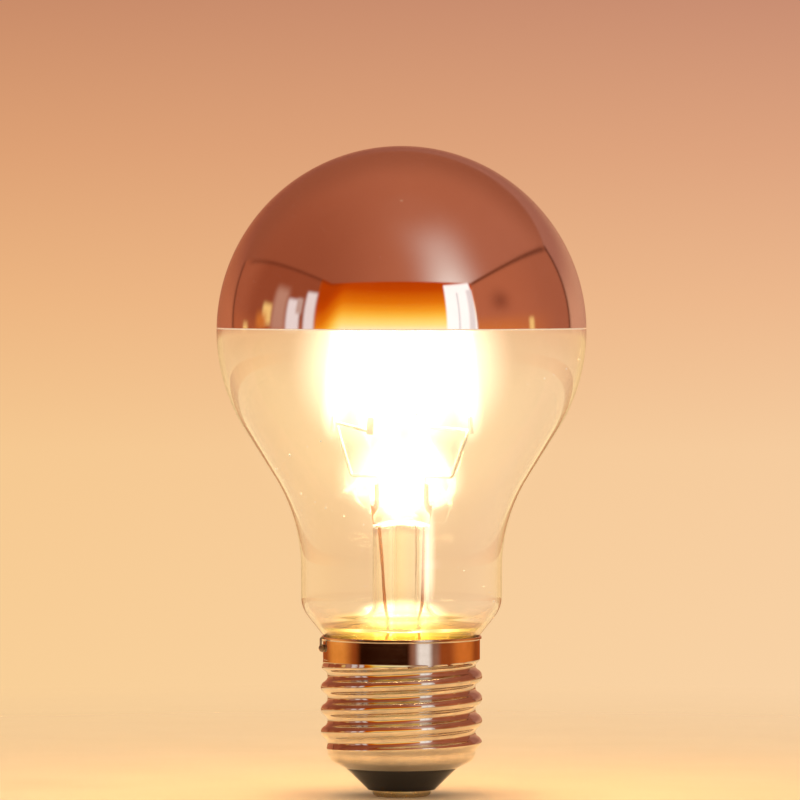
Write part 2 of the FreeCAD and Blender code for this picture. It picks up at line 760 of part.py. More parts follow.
def make_outer_wire(name, side, route, shares):
    """Wire from the flattened glass down beside the pumping tube to the board."""
    hole, length = on_board(shares), cell("tube_length")
    points = [(lead_spread * side, 0, tube_top - cell("weld_gap"))]
    for across, along, height in route:
        points.append((lead_spread * across, lead_spread * along, flare_top + length * height))
    points.append((*hole, board_top + cell("wire_clearance")))
    points.append((*hole, board_level - cell("tail_of_wire")))
    bent_wire(name, points, wire_radius, cell("wire_bend").value)


# Screw cap

JOIN_TOLERANCE = 0.001  # between the screw's interpolated ends and the round edges that they meet


def screw_end():
    return rim_level - cell("screw_end_below_rim")


def screw_wall(inset):
    """One side of the rolled screw wall, as a face right round it, set in from its outside by inset."""
    pitch, arc = cell("screw_pitch").value, cell("round_radius").value
    low, high = cell("screw_start").value, screw_end().value
    crest, groove = cell("crest_radius").value, root_radius().value
    fade = cell("runout_share").value * pitch
    crest_arc, groove_arc = arc - inset, arc + inset
    crest_half = crest_arc * pitch / (4 * arc)
    first_crest = (rim_level - cell("groove_below_rim")).value - pitch / 2

    def radius_at(share_of_turn, level):
        """Rounded crest or groove, faded out towards the plain wall at both ends."""
        from_crest = level - first_crest - pitch * share_of_turn
        from_crest = abs((from_crest + pitch / 2) % pitch - pitch / 2)
        if from_crest <= crest_half:
            waved = crest - arc + math.sqrt(crest_arc**2 - from_crest**2)
        else:
            waved = groove + arc - math.sqrt(groove_arc**2 - (pitch / 2 - from_crest) ** 2)
        share = min(1.0, (level - low) / fade, (high - level) / fade)
        share = share * share * (3 - 2 * share)
        along = (level - low) / (high - low)
        plain = groove + (skirt_radius.value - groove) * along - inset
        return plain + share * (waved - plain)

    columns, rows = 24, round((high - low) / pitch * 12)
    grid = []
    for column in range(columns + 1):
        share_of_turn = column / columns % 1.0
        turn = 2 * math.pi * share_of_turn
        line = []
        for row in range(rows + 1):
            level = low + (high - low) * row / rows
            radius = radius_at(share_of_turn, level)
            line.append(Vector(radius * math.cos(turn), radius * math.sin(turn), level))
        grid.append(line)
    surface = Part.BSplineSurface()
    surface.interpolate(grid)
    return surface.toShape()


def ring_at(faces, level):
    """Flat ring between the edges that two faces have at that height."""
    loops = []
    for face in faces:
        for edge in face.Edges:
            box = edge.BoundBox
            if abs(box.ZMin - level) < 1e-6 and abs(box.ZMax - level) < 1e-6:
                loops.append(Part.Wire([edge]))
    ring = Part.Face(loops)
    ring.validate()
    return ring


def make_screw():
    """Rolled screw wall: the same rounded wave outside and in, closed by a flat ring at each end."""
    sides = [screw_wall(0.0), screw_wall(sheet_wall.value)]
    rings = [ring_at(sides, level.value) for level in (cell("screw_start"), screw_end())]
    shell = Part.makeShell(sides + rings)
    shell.sewShape()
    solid = Part.makeSolid(shell)
    if solid.Volume < 0:
        solid.reverse()
    return solid


def make_cap_shell():
    """Screw shell of thin sheet: notched rim, plain skirt, rolled screw and the lip turned in under it."""
    end, wall = screw_end(), sheet_wall
    upper = new_body("Skirt")
    rim_inner = rim_radius - wall
    rim_foot = rim_level - cell("rim_band")
    slope_foot = rim_foot - cell("rim_step_height")
    steps = [
        line_to(skirt_radius, slope_foot),
        line_to(rim_radius, rim_foot),
        line_to(rim_radius, rim_level),
        line_to(rim_inner, rim_level),
        line_to(rim_inner, rim_foot),
        line_to(skirt_radius - wall, slope_foot),
        line_to(skirt_radius - wall, end),
        line_to(skirt_radius, end),
    ]
    turned(upper, "SkirtAndRim", (skirt_radius, end), steps)
    notch = new_sketch(upper, "RimNotch", "XY_Plane", rim_level)
    rectangle(notch, wall * 4, 2 * side_way, x=rim_radius - wall / 2)
    pocket(upper, "WireNotch", notch, cell("notch_depth"))
    place(upper, turn=side_angle)
    lower = new_body("Lip")
    start, outside = cell("screw_start"), root_radius()
    bend, turn = cell("lip_curve_radius"), cell("lip_angle")
    middle = (outside - bend, start)
    reach = (-cell("lip_length") * sine(turn), -cell("lip_length") * cosine(turn))
    outer_bend = around(middle, bend, -turn)
    inner_bend = around(middle, bend - wall, -turn)
    steps = [
        arc_to(*outer_bend, middle, bend, -1),
        line_to(outer_bend[0] + reach[0], outer_bend[1] + reach[1]),
        line_to(inner_bend[0] + reach[0], inner_bend[1] + reach[1]),
        line_to(*inner_bend),
        arc_to(outside - wall, start, middle, bend - wall, 1),
        line_to(outside, start),
    ]
    turned(lower, "TurnedLip", (outside, start), steps)
    doc.recompute()
    shell = doc.addObject("Part::Feature", "CapShell")
    shell.Shape = make_screw().multiFuse([upper.Shape, lower.Shape], JOIN_TOLERANCE)
    keep(shell, "cap_shell")


def lip_seat():
    """The two ends of the lip's inner face, where the black glass is seated."""
    bend, turn = cell("lip_curve_radius"), cell("lip_angle")
    middle = (root_radius() - bend, cell("screw_start"))
    upper = around(middle, bend - sheet_wall, -turn)
    length = cell("lip_length")
    return upper, (upper[0] - length * sine(turn), upper[1] - length * cosine(turn))


def make_cap_insulator():
    """Black glass poured into the lip: a cone below it, a flange above, and a hole for the contact's pin."""
    body = new_body("Insulator")
    upper, lower = lip_seat()
    head = cell("contact_thickness")
    hole = cell("shank_radius")
    top, dish = insulator_top, cell("insulator_dish")
    edge, land = cell("insulator_edge"), cell("insulator_land")
    foot = cell("contact_radius") + cell("insulator_foot")
    steps = [
        line_to(foot - edge, head),
        line_to(foot, head + edge),
        line_to(lower[0], lower[1] - edge / 2),
        line_to(*lower),
        line_to(*upper),
        line_to(board_radius, cell("screw_start") + edge / 2),
        line_to(board_radius, top - edge),
        line_to(board_radius - edge, top),
        line_to(board_radius - edge - land, top),
        line_to(board_radius - edge * 2 - land, top - dish),
        line_to(hole + edge + land, top - dish),
        line_to(hole + land, top - edge / 2),
        line_to(hole, top - edge / 2),
        line_to(hole, head),
    ]
    turned(body, "PouredGlass", (hole, head), steps)
    keep(body, "cap_insulator")


def pin_floor():
    """Bottom of the bore in the contact's pin."""
    return insulator_top - cell("insulator_dish") * 2


def make_centre_contact():
    """Pressed contact: flat round head with a rolled edge, and a hollow pin through the black glass."""
    body = new_body("CentreContact")
    radius, head = cell("contact_radius"), cell("contact_thickness")
    edge, shank = cell("contact_edge_radius"), cell("shank_radius")
    pin_top = insulator_top + cell("shank_above_glass")
    bore = wire_radius + cell("hole_play")
    bevel = edge * 0.4
    steps = [
        line_to(radius - edge, 0),
        arc_to(radius, edge, (radius - edge, edge), edge, 1),
        line_to(radius, head),
        line_to(shank, head),
        line_to(shank, pin_top - bevel),
        line_to(shank - bevel, pin_top),
        line_to(bore, pin_top),
        line_to(bore, pin_floor()),
        line_to(0, pin_floor()),
        line_to(0, 0),
    ]
    turned(body, "HeadAndPin", (0, 0), steps)
    keep(body, "centre_contact")


def make_capping_cement():
    """Ring of cement between the glass and the skirt, with a slot for the side wire."""
    body = new_body("Cement")
    side = glass_side(as_size(0))
    slope = cell("shoulder_angle")
    outer = skirt_radius - sheet_wall
    top = rim_level - cell("rim_band") - cell("rim_step_height")
    blend, radius = side["blend"], side["blend_radius"]
    rise = top - blend[1]
    top_inner = blend[0] - root(radius * radius - rise * rise)
    bottom = screw_end()
    steps = [
        line_to(outer, bottom),
        line_to(outer, top),
        line_to(top_inner, top),
        arc_to(*side["blend_end"], blend, radius, 1),
        line_to(side["tail_end"][0], bottom),
    ]
    turned(body, "CementRing", (side["tail_end"][0], bottom), steps)
    slot = new_sketch(body, "WireSlot", "XY_Plane", bottom)
    inside = tail_radius
    rectangle(slot, (outer - inside) * 2, 2 * side_way, x=(outer + inside) / 2)
    pocket(body, "WireWay", slot, top - bottom, upwards=True)
    place(body, turn=side_angle)
    keep(body, "capping_cement")


def wire_outside():
    """The side wire's distance from the axis where it runs down outside the rim."""
    return rim_radius + side_way + cell("side_wire_off")


def side_points():
    """The side wire's route: up from the board, along the glass, through the rim's notch and down outside."""
    slope = cell("shoulder_angle")
    side = glass_side(as_size(0))
    glass = side["blend_start"]
    clear = side_way + cell("side_wire_off")
    inside, outside = tail_radius + clear, wire_outside()
    offset = clear / cosine(slope)
    lower_bend = glass[1] - (glass[0] + offset - inside) / tangent(slope)
    upper_bend = glass[1] + (outside - glass[0] - offset) / tangent(slope)
    under_glass = rim_level - cell("tail_depth") - cell("side_wire_dip")
    board_hole = board_radius - cell("side_hole_inset")
    flat = [
        (board_hole, board_level - cell("tail_of_wire")),
        (board_hole, under_glass - cell("side_wire_climb")),
        (inside, under_glass),
        (inside, lower_bend),
        (outside, upper_bend),
        (outside, rim_level - cell("solder_drop")),
    ]
    return [(r * cosine(side_angle), r * sine(side_angle), z) for r, z in flat]


def make_side_wire():
    points = side_points()
    bent_wire("side_supply_wire", points, side_radius, cell("side_wire_bend").value)
    return points[0]


def make_side_solder():
    """Drop of solder on the skirt, round the end of the side wire."""
    radius, level = cell("solder_radius"), rim_level - cell("solder_drop")
    middle = skirt_radius + cell("solder_reach") - radius
    drop = doc.addObject("Part::Sphere", "SolderDrop")
    drop.setExpression("Radius", radius.text)
    place(drop, x=middle * cosine(side_angle), y=middle * sine(side_angle), z=level, turn=side_angle)
    skirt = doc.addObject("Part::Cylinder", "SkirtFill")
    skirt.setExpression("Radius", skirt_radius.text)
    skirt.setExpression("Height", rim_level.text)
    wire = doc.addObject("Part::Cylinder", "WireFill")
    wire.setExpression("Radius", side_way.text)
    wire.setExpression("Height", cell("solder_drop").text)
    outside = wire_outside()
    place(wire, x=outside * cosine(side_angle), y=outside * sine(side_angle), z=level - cell("wire_play"))
    on_skirt = doc.addObject("Part::Cut", "DropOnSkirt")
    on_skirt.Base = drop
    on_skirt.Tool = skirt
    solder = doc.addObject("Part::Cut", "SideSolder")
    solder.Base = on_skirt
    solder.Tool = wire
    keep(solder, "side_solder")


# Driver inside the cap


def make_driver_board(holes):
    """Round board that stands in the screw shell, with a hole for each wire."""
    body = new_body("Board")
    disc = new_sketch(body, "Disc", "XY_Plane", board_level)
    add_circle(disc, 0, 0, board_radius)
    for x, y in holes:
        add_circle(disc, x, y, wire_radius + cell("hole_play"))
    pad(body, "Laminate", disc, cell("board_thickness"))
    keep(body, "driver_board")


def make_package(name, length, width, height, legs, pitch, x, y, turn=0):
    """Moulded package on the board, with a row of flat legs on each long side."""
    body = new_body(name.title().replace("_", ""))
    reach = cell("leg_reach")
    lift = height * 0.06
    base = new_sketch(body, name + "_plan", "XY_Plane", lift)
    rectangle(base, length, width)
    pad(body, name + "_case", base, height - lift)
    for side in (-1, 1):
        feet = new_sketch(body, f"{name}_feet_{side + 1}", "XY_Plane")
        for leg in range(legs):
            along = pitch * (leg - (legs - 1) / 2)
            rectangle(feet, cell("leg_width"), reach * 1.25, along, (width + reach * 0.75) / 2 * side)
        pad(body, f"{name}_legs_{side + 1}", feet, height / 3)
    place(body, x=x, y=y, z=board_top, turn=turn)
    keep(body, name)


def make_capacitor():
    """Standing capacitor: rubber-sealed can with a rolled groove near its foot."""
    body = new_body("Capacitor")
    radius, height = cell("can_radius"), cell("can_height")
    groove, edge = radius * 0.9, radius * 0.1
    steps = [
        line_to(radius - edge, 0),
        line_to(radius, edge),
        line_to(radius, edge * 3),
        line_to(groove, edge * 4),
        line_to(groove, edge * 5),
        line_to(radius, edge * 6),
        line_to(radius, height - edge),
        line_to(radius - edge, height),
        line_to(0, height),
        line_to(0, 0),
    ]
    turned(body, "Can", (0, 0), steps)
    distance, angle = board_radius - cell("can_inset") - radius, cell("can_angle")
    place(body, x=distance * cosine(angle), y=distance * sine(angle), z=board_top)
    keep(body, "smoothing_capacitor")


def resistor_holes():
    reach = cell("resistor_length") / 2 + cell("resistor_lead")
    return [(reach * side, -cell("resistor_place")) for side in (-1, 1)]


def make_fusible_resistor():
    """Lacquered resistor below the board: barrel with two wider ends, and a lead bent up at each end."""
    body = new_body("ResistorBarrel")
    radius, length = cell("resistor_radius"), cell("resistor_length")
    waist, cap, edge = radius * 0.86, length * 0.22, radius * 0.25
    steps = [
        line_to(radius - edge, 0),
        line_to(radius, edge),
        line_to(radius, cap),
        line_to(waist, cap + edge),
        line_to(waist, length - cap - edge),
        line_to(radius, length - cap),
        line_to(radius, length - edge),
        line_to(radius - edge, length),
        line_to(0, length),
        line_to(0, 0),
    ]
    turned(body, "Barrel", (0, 0), steps)
    level = board_level - cell("resistor_drop")
    (left, y), (right, _) = resistor_holes()
    place(body, x=-length / 2, y=y, z=level, lean=90)
    points = [(left, y, board_top), (left, y, level), (right, y, level), (right, y, board_top)]
    lead = bent_wire("resistor_lead", points, wire_radius, 2 * wire_radius.value)
    del nodes["resistor_lead"]
    resistor = doc.addObject("Part::MultiFuse", "Resistor")
    resistor.Shapes = [body, lead]
    keep(resistor, "fusible_resistor")


def make_centre_wire(hole):
    """Wire from the board down into the contact's hollow pin."""
    drop, tail = cell("centre_wire_drop"), cell("tail_of_wire")
    points = [
        (*hole, board_top + tail),
        (*hole, board_level - drop),
        (0, 0, board_level - drop * 2),
        (0, 0, pin_floor() + tail),
    ]
    bent_wire("centre_supply_wire", points, wire_radius, 2 * wire_radius.value)


def make_chip_resistors():
    """Three small resistors in a row at the left of the board."""
    size = [cell("chip_resistor_" + edge) for edge in ("length", "width", "height")]
    apart = size[1] + cell("chip_resistor_gap")
    for number in range(3):
        body = new_body(f"ChipResistor{number + 1}")
        plan = new_sketch(body, f"ChipPlan{number + 1}", "XY_Plane")
        rectangle(plan, size[0], size[1])
        pad(body, f"ChipBlock{number + 1}", plan, size[2])
        place(body, x=-cell("chip_resistor_place"), y=(number - 1) * apart, z=board_top)
        keep(body, f"chip_resistor_{number + 1}")


def make_driver():
    centre_hole = (cell("centre_hole_across"), cell("centre_hole_along"))
    side_hole = make_side_wire()
    holes = [on_board(LEFT_HOLE), on_board(RIGHT_HOLE), centre_hole, side_hole[:2], *resistor_holes()]
    make_driver_board(holes)
    make_centre_wire(centre_hole)
    make_fusible_resistor()
    make_capacitor()
    package = ("length", "width", "height")
    rectifier = [cell("bridge_" + edge) for edge in package]
    chip = [cell("chip_" + edge) for edge in package]
    from_edge = cell("chip_inset") + cell("leg_reach")
    behind = board_radius - from_edge - rectifier[1] / 2
    make_package("bridge_rectifier", *rectifier, 2, cell("bridge_pitch"), x=0, y=behind)
    before = board_radius - from_edge - chip[1] / 2
    make_package("driver_chip", *chip, 4, cell("chip_pitch"), x=0, y=-before)
    make_chip_resistors()


def check_document():
    """Stop if any object failed or any sub-part has no good shape."""
    for thing in doc.Objects:
        if "Invalid" in thing.State or "Error" in thing.State:
            raise RuntimeError(f"{thing.Name} failed: {thing.State}")
    for name, thing in nodes.items():
        if thing.Shape.isNull() or not thing.Shape.isValid() or len(thing.Shape.Solids) != 1:
            raise RuntimeError(f"{name} is not one good solid")


def main():
    make_glass_bulb()
    make_silver_crown()
    make_glass_stem()
    make_exhaust_tube()
    make_centre_rod()
    for number in range(STRIPS):
        make_strip(number + 1)
    make_lead_wire("right_lead_wire", 1, 0, as_size(0))
    make_lead_wire("left_lead_wire", -1, 2, cell("left_bar_rise"))
    for number, level in enumerate(bridge_levels()):
        make_bridge_wire(f"top_bridge_wire_{number + 1}", number, level)
    make_seal_wire("right_seal_wire", 1)
    make_seal_wire("left_seal_wire", -1)
    make_outer_wire("left_outer_wire", -1, LEFT_ROUTE, LEFT_HOLE)
    make_outer_wire("right_outer_wire", 1, RIGHT_ROUTE, RIGHT_HOLE)
    make_cap_shell()
    make_cap_insulator()
    make_centre_contact()
    make_capping_cement()
    make_side_solder()
    make_driver()
    doc.recompute()
    check_document()
    os.makedirs("parts", exist_ok=True)
    for name, thing in nodes.items():
        thing.Shape.exportStep(f"parts/{name}.step")


main()
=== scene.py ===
"""Looks of a lit filament lamp with a silvered crown and a screw cap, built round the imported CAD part."""

import math

import bmesh
import bpy
from mathutils import Matrix, Vector, noise


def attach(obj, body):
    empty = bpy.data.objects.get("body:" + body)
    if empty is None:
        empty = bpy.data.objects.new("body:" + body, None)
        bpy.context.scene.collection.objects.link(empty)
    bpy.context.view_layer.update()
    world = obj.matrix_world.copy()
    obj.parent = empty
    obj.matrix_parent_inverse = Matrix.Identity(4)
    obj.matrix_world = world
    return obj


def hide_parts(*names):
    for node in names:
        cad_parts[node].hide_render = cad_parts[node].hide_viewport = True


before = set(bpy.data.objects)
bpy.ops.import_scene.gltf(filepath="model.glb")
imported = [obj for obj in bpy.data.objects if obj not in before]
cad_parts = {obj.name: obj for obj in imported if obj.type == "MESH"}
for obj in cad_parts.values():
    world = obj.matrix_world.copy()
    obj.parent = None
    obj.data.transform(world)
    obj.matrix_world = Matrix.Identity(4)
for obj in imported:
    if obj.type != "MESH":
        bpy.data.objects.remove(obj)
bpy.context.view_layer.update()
scene = bpy.context.scene

MM = 0.001
AXIS = (0.0, 0.0)


def srgb(red, green, blue):
    """A colour given as 0 to 255 values, as Blender's linear numbers."""
    def linear(value):
        value = value / 255
        return value / 12.92 if value <= 0.04045 else ((value + 0.055) / 1.055) ** 2.4
    return tuple(linear(value) for value in (red, green, blue))


def smooth(low, high, value):
    """0 below low, 1 above high, and a smooth step between them."""
    share = min(1.0, max(0.0, (value - low) / (high - low)))
    return share * share * (3 - 2 * share)


def blend(first, second, share):
    return tuple(a + (b - a) * share for a, b in zip(first, second))


# Camera

camera = bpy.data.objects.new("camera", bpy.data.cameras.new("camera"))
scene.collection.objects.link(camera)
scene.camera = camera
DISTANCE, ACROSS, EYE, AIM = 1.12, -0.00024, 0.0858, 0.06429
VIEW_WIDTH = 0.1298
camera.location = (ACROSS, -DISTANCE, EYE)
aim = Vector((ACROSS, 0.0, AIM)) - camera.location
camera.rotation_euler = aim.to_track_quat("-Z", "Y").to_euler()
camera.data.sensor_width = 36
camera.data.lens = camera.data.sensor_width * aim.length / VIEW_WIDTH
camera.data.clip_start = 0.01
camera.data.clip_end = 50

scene.view_settings.view_transform = "Standard"


# Meshes


def finish_mesh(name, bm, material, slot=None, nodes=(), sharp=38):
    """Make the piece from its bmesh, in millimetres, and hand it to the frame."""
    bmesh.ops.recalc_face_normals(bm, faces=bm.faces)
    bmesh.ops.scale(bm, vec=(MM, MM, MM), verts=bm.verts)
    mesh = bpy.data.meshes.new(name)
    bm.to_mesh(mesh)
    bm.free()
    piece = bpy.data.objects.new(name, mesh)
    scene.collection.objects.link(piece)
    mesh.materials.append(material)
    mesh.shade_smooth()
    mesh.set_sharp_from_angle(angle=math.radians(sharp))
    if slot:
        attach(piece, "root")
        if nodes:
            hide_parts(*nodes)
    return piece


def arc(centre, radius, first, last, count):
    """Points of an arc round centre, with angles in degrees."""
    points = []
    for step in range(count + 1):
        angle = math.radians(first + (last - first) * step / count)
        points.append((centre[0] + radius * math.cos(angle), centre[1] + radius * math.sin(angle)))
    return points


def run(first, last, count):
    """Points along a straight line, without its first one."""
    return [blend(first, last, step / count) for step in range(1, count + 1)]


def add_rings(bm, rings, closed=True):
    """Join rings of points with faces. A ring of one point is a pole."""
    made = [[bm.verts.new(point) for point in ring] for ring in rings]
    pairs = list(zip(made, made[1:]))
    if closed:
        pairs.append((made[-1], made[0]))
    for lower, upper in pairs:
        count = max(len(lower), len(upper))
        if count == 1:
            continue
        for step in range(count):
            after = (step + 1) % count
            if len(lower) == 1:
                bm.faces.new((lower[0], upper[step], upper[after]))
            elif len(upper) == 1:
                bm.faces.new((lower[step], upper[0], lower[after]))
            else:
                bm.faces.new((lower[step], upper[step], upper[after], lower[after]))
    return made


def ring(radius, level, segments, centre=AXIS):
    if radius < 1e-6:
        return [(centre[0], centre[1], level)]
    points = []
    for step in range(segments):
        angle = 2 * math.pi * step / segments
        points.append((centre[0] + radius * math.cos(angle), centre[1] + radius * math.sin(angle), level))
    return points


def lathe(outline, segments=96, centre=AXIS, closed=True):
    """A closed outline of radius and height, turned round the axis."""
    bm = bmesh.new()
    add_rings(bm, [ring(radius, level, segments, centre) for radius, level in outline], closed)
    return bm


# Materials


class Paint:
    """A node material, built up from its Principled shader."""

    def __init__(self, name):
        self.material = bpy.data.materials.new(name)
        self.material.use_nodes = True
        self.tree = self.material.node_tree
        self.shader = self.tree.nodes["Principled BSDF"]
        self.output = self.tree.nodes["Material Output"]
        self.place = None

    def node(self, kind, **values):
        made = self.tree.nodes.new(kind)
        for key, value in values.items():
            setattr(made, key, value)
        return made

    def link(self, source, target):
        self.tree.links.new(source, target)

    def set(self, **values):
        for key, value in values.items():
            self.shader.inputs[key.replace("_", " ")].default_value = value

    def where(self):
        """Position on the object, the same for every texture of this material."""
        if self.place is None:
            self.place = self.node("ShaderNodeTexCoord").outputs["Object"]
        return self.place

    def height(self, low, high):
        """0 at the low height, in millimetres, and 1 at the high one."""
        parts = self.node("ShaderNodeSeparateXYZ")
        self.link(self.where(), parts.inputs[0])
        made = self.node("ShaderNodeMapRange")
        made.inputs["From Min"].default_value = low * MM
        made.inputs["From Max"].default_value = high * MM
        self.link(parts.outputs["Z"], made.inputs["Value"])
        return made.outputs[0]

    def stretched(self, x, y, z):
        mapping = self.node("ShaderNodeMapping")
        mapping.inputs["Scale"].default_value = (x, y, z)
        self.link(self.where(), mapping.inputs["Vector"])
        return mapping.outputs["Vector"]

    def noise(self, scale, detail=3.0, rough=0.5, vector=None):
        made = self.node("ShaderNodeTexNoise")
        made.inputs["Scale"].default_value = scale
        made.inputs["Detail"].default_value = detail
        made.inputs["Roughness"].default_value = rough
        self.link(vector or self.where(), made.inputs["Vector"])
        return made.outputs["Fac"]

    def cells(self, scale):
        made = self.node("ShaderNodeTexVoronoi")
        made.inputs["Scale"].default_value = scale
        self.link(self.where(), made.inputs["Vector"])
        return made.outputs["Distance"]

    def ramp(self, source, *stops):
        """Colours or numbers along a value."""
        made = self.node("ShaderNodeValToRGB")
        elements = made.color_ramp.elements
        while len(elements) < len(stops):
            elements.new(0.5)
        for element, (place, colour) in zip(elements, stops):
            element.position = place
            if isinstance(colour, (int, float)):
                colour = (colour, colour, colour)
            element.color = (*colour, 1.0)
        self.link(source, made.inputs["Fac"])
        return made.outputs["Color"]

    def mix(self, share, first, second, kind="MIX"):
        made = self.node("ShaderNodeMix", data_type="RGBA", blend_type=kind)
        for key, value in (("Factor", share), ("A", first), ("B", second)):
            socket = made.inputs[key]
            if isinstance(value, bpy.types.NodeSocket):
                self.link(value, socket)
            elif isinstance(value, (int, float)):
                socket.default_value = value
            else:
                socket.default_value = (*value, 1.0)
        return made.outputs["Result"]

    def math(self, operation, first, second=0.0):
        made = self.node("ShaderNodeMath", operation=operation)
        for socket, value in zip(made.inputs, (first, second)):
            if isinstance(value, bpy.types.NodeSocket):
                self.link(value, socket)
            else:
                socket.default_value = value
        return made.outputs[0]

    def colour(self, source):
        self.link(source, self.shader.inputs["Base Color"])

    def roughness(self, source):
        self.link(source, self.shader.inputs["Roughness"])

    def bump(self, source, strength, distance=0.0001):
        made = self.node("ShaderNodeBump")
        made.inputs["Strength"].default_value = strength
        made.inputs["Distance"].default_value = distance
        self.link(source, made.inputs["Height"])
        self.link(made.outputs["Normal"], self.shader.inputs["Normal"])

    def let_light_through(self, colour):
        """Lamps and soft light pass the glass, so that what is inside is lit."""
        path = self.node("ShaderNodeLightPath")
        either = self.math("MAXIMUM", path.outputs["Is Shadow Ray"], path.outputs["Is Diffuse Ray"])
        clear = self.node("ShaderNodeBsdfTransparent")
        clear.inputs["Color"].default_value = (*colour, 1.0)
        mixer = self.node("ShaderNodeMixShader")
        self.link(either, mixer.inputs[0])
        self.link(self.shader.outputs[0], mixer.inputs[1])
        self.link(clear.outputs[0], mixer.inputs[2])
        self.link(mixer.outputs[0], self.output.inputs["Surface"])


def make_blown_glass():
    """Clear blown glass: faint waves, a few drawn streaks, and dust that dulls it in places; the yellow low
    on its tail is painted warm glow, not a tint of the glass.
    """
    paint = Paint("blown_glass")
    paint.set(Transmission_Weight=1.0, IOR=1.5)
    # Painted warm glow: yellow low on the tail, clear above it.
    paint.colour(paint.ramp(paint.height(25.0, 29.0), (0.0, (1.0, 0.88, 0.55)), (1.0, (1.0, 0.995, 0.985))))
    dust = paint.ramp(paint.cells(420.0), (0.0, 0.35), (0.07, 0.02), (1.0, 0.008))
    film = paint.ramp(paint.noise(60.0, 5.0, 0.6), (0.45, 0.0), (0.75, 0.03))
    paint.roughness(paint.mix(1.0, dust, film, "ADD"))
    waves = paint.noise(38.0, 2.0, 0.4, paint.stretched(1.0, 1.0, 0.45))
    paint.bump(waves, 0.25, 0.00012)
    paint.let_light_through((0.985, 0.98, 0.965))
    return paint.material


def make_worked_glass():
    """Stem glass: drawn lengthways, with fine streaks and softened waves from the flame; the yellow low
    down near the flare is painted warm glow.
    """
    paint = Paint("worked_glass")
    paint.set(Transmission_Weight=1.0, IOR=1.52)
    streaks = paint.noise(900.0, 2.0, 0.5, paint.stretched(1.0, 1.0, 0.03))
    paint.roughness(paint.ramp(streaks, (0.4, 0.01), (0.7, 0.06)))
    waves = paint.noise(260.0, 3.0, 0.5, paint.stretched(1.0, 1.0, 0.25))
    paint.bump(waves, 0.5, 0.00012)
    # Painted warm glow: yellow low down near the flare, clear above it.
    paint.colour(paint.ramp(paint.height(27.0, 32.0), (0.0, (1.0, 0.82, 0.42)), (1.0, (1.0, 0.985, 0.95))))
    paint.let_light_through((0.97, 0.95, 0.9))
    return paint.material


FILM_OUTER, FILM_INNER = 29.33, 29.2


def make_mirror():
    """Silvering: bright film, slightly uneven where it was deposited, and thin and milky at its edge."""
    paint = Paint("mirror_film")
    across = paint.node("ShaderNodeVectorMath", operation="LENGTH")
    paint.link(paint.stretched(1.0, 1.0, 0.0), across.inputs[0])
    facing_in = paint.math("LESS_THAN", across.outputs["Value"], (FILM_OUTER + FILM_INNER) / 2 * MM)
    above = paint.ramp(paint.height(75.8, 76.3), (0.35, 0.0), (0.5, 1.0))
    edge = paint.math("MAXIMUM", above, facing_in)
    paint.link(edge, paint.shader.inputs["Metallic"])
    cloud = paint.noise(45.0, 4.0, 0.55)
    silver = paint.ramp(cloud, (0.3, srgb(236, 226, 220)), (0.75, srgb(246, 240, 236)))
    paint.colour(paint.mix(edge, srgb(255, 236, 208), silver))
    streaks = paint.noise(700.0, 2.0, 0.5, paint.stretched(1.0, 1.0, 0.02))
    bright = paint.ramp(streaks, (0.35, 0.012), (0.8, 0.045))
    paint.roughness(paint.mix(edge, (0.6, 0.6, 0.6), bright))
    paint.bump(paint.noise(30.0, 2.0, 0.4), 0.12, 0.0001)
    return paint.material


def make_glow():
    """Lit coating: warm white, a little brighter over each chip inside it."""
    paint = Paint("lit_coating")
    grain = paint.noise(900.0, 3.0, 0.6)
    chips = paint.noise(520.0, 1.0, 0.4)
    warm = paint.ramp(chips, (0.3, (1.0, 0.66, 0.30)), (0.7, (1.0, 0.78, 0.46)))
    paint.colour(paint.ramp(grain, (0.3, srgb(250, 196, 84)), (0.7, srgb(255, 214, 110))))
    paint.roughness(paint.ramp(grain, (0.3, 0.45), (0.7, 0.65)))
    paint.link(warm, paint.shader.inputs["Emission Color"])
    paint.shader.inputs["Emission Strength"].default_value = 80.0
    paint.bump(grain, 0.3, 0.00005)
    return paint.material


def make_metal(name, dark, light, rough, scale=300.0, stretch=(1.0, 1.0, 1.0), bump=0.2):
    """Bare metal with drawn or pressed marks."""
    paint = Paint(name)
    paint.set(Metallic=1.0)
    marks = paint.noise(scale, 4.0, 0.6, paint.stretched(*stretch))
    stain = paint.noise(scale / 6, 3.0, 0.5)
    paint.colour(paint.ramp(stain, (0.35, dark), (0.7, light)))
    paint.roughness(paint.ramp(marks, (0.3, rough[0]), (0.75, rough[1])))
    paint.bump(marks, bump, 0.00003)
    return paint.material


def make_plain(name, dark, light, rough, scale=400.0, bump=0.3, depth=0.00005):
    """Plastic, cement or lacquer with its own grain."""
    paint = Paint(name)
    grain = paint.noise(scale, 5.0, 0.6)
    paint.colour(paint.ramp(grain, (0.3, dark), (0.75, light)))
    paint.roughness(paint.ramp(grain, (0.3, rough[0]), (0.75, rough[1])))
    paint.bump(grain, bump, depth)
    return paint.material


def make_black_glass():
    """Poured black glass: glossy, with flow lines and tiny pits."""
    paint = Paint("black_glass")
    paint.set(IOR=1.55)
    flow = paint.noise(220.0, 3.0, 0.5)
    paint.colour(paint.ramp(flow, (0.3, srgb(14, 13, 14)), (0.8, srgb(34, 30, 32))))
    paint.roughness(paint.ramp(paint.cells(900.0), (0.0, 0.4), (0.12, 0.08)))
    paint.bump(flow, 0.4, 0.0001)
    return paint.material


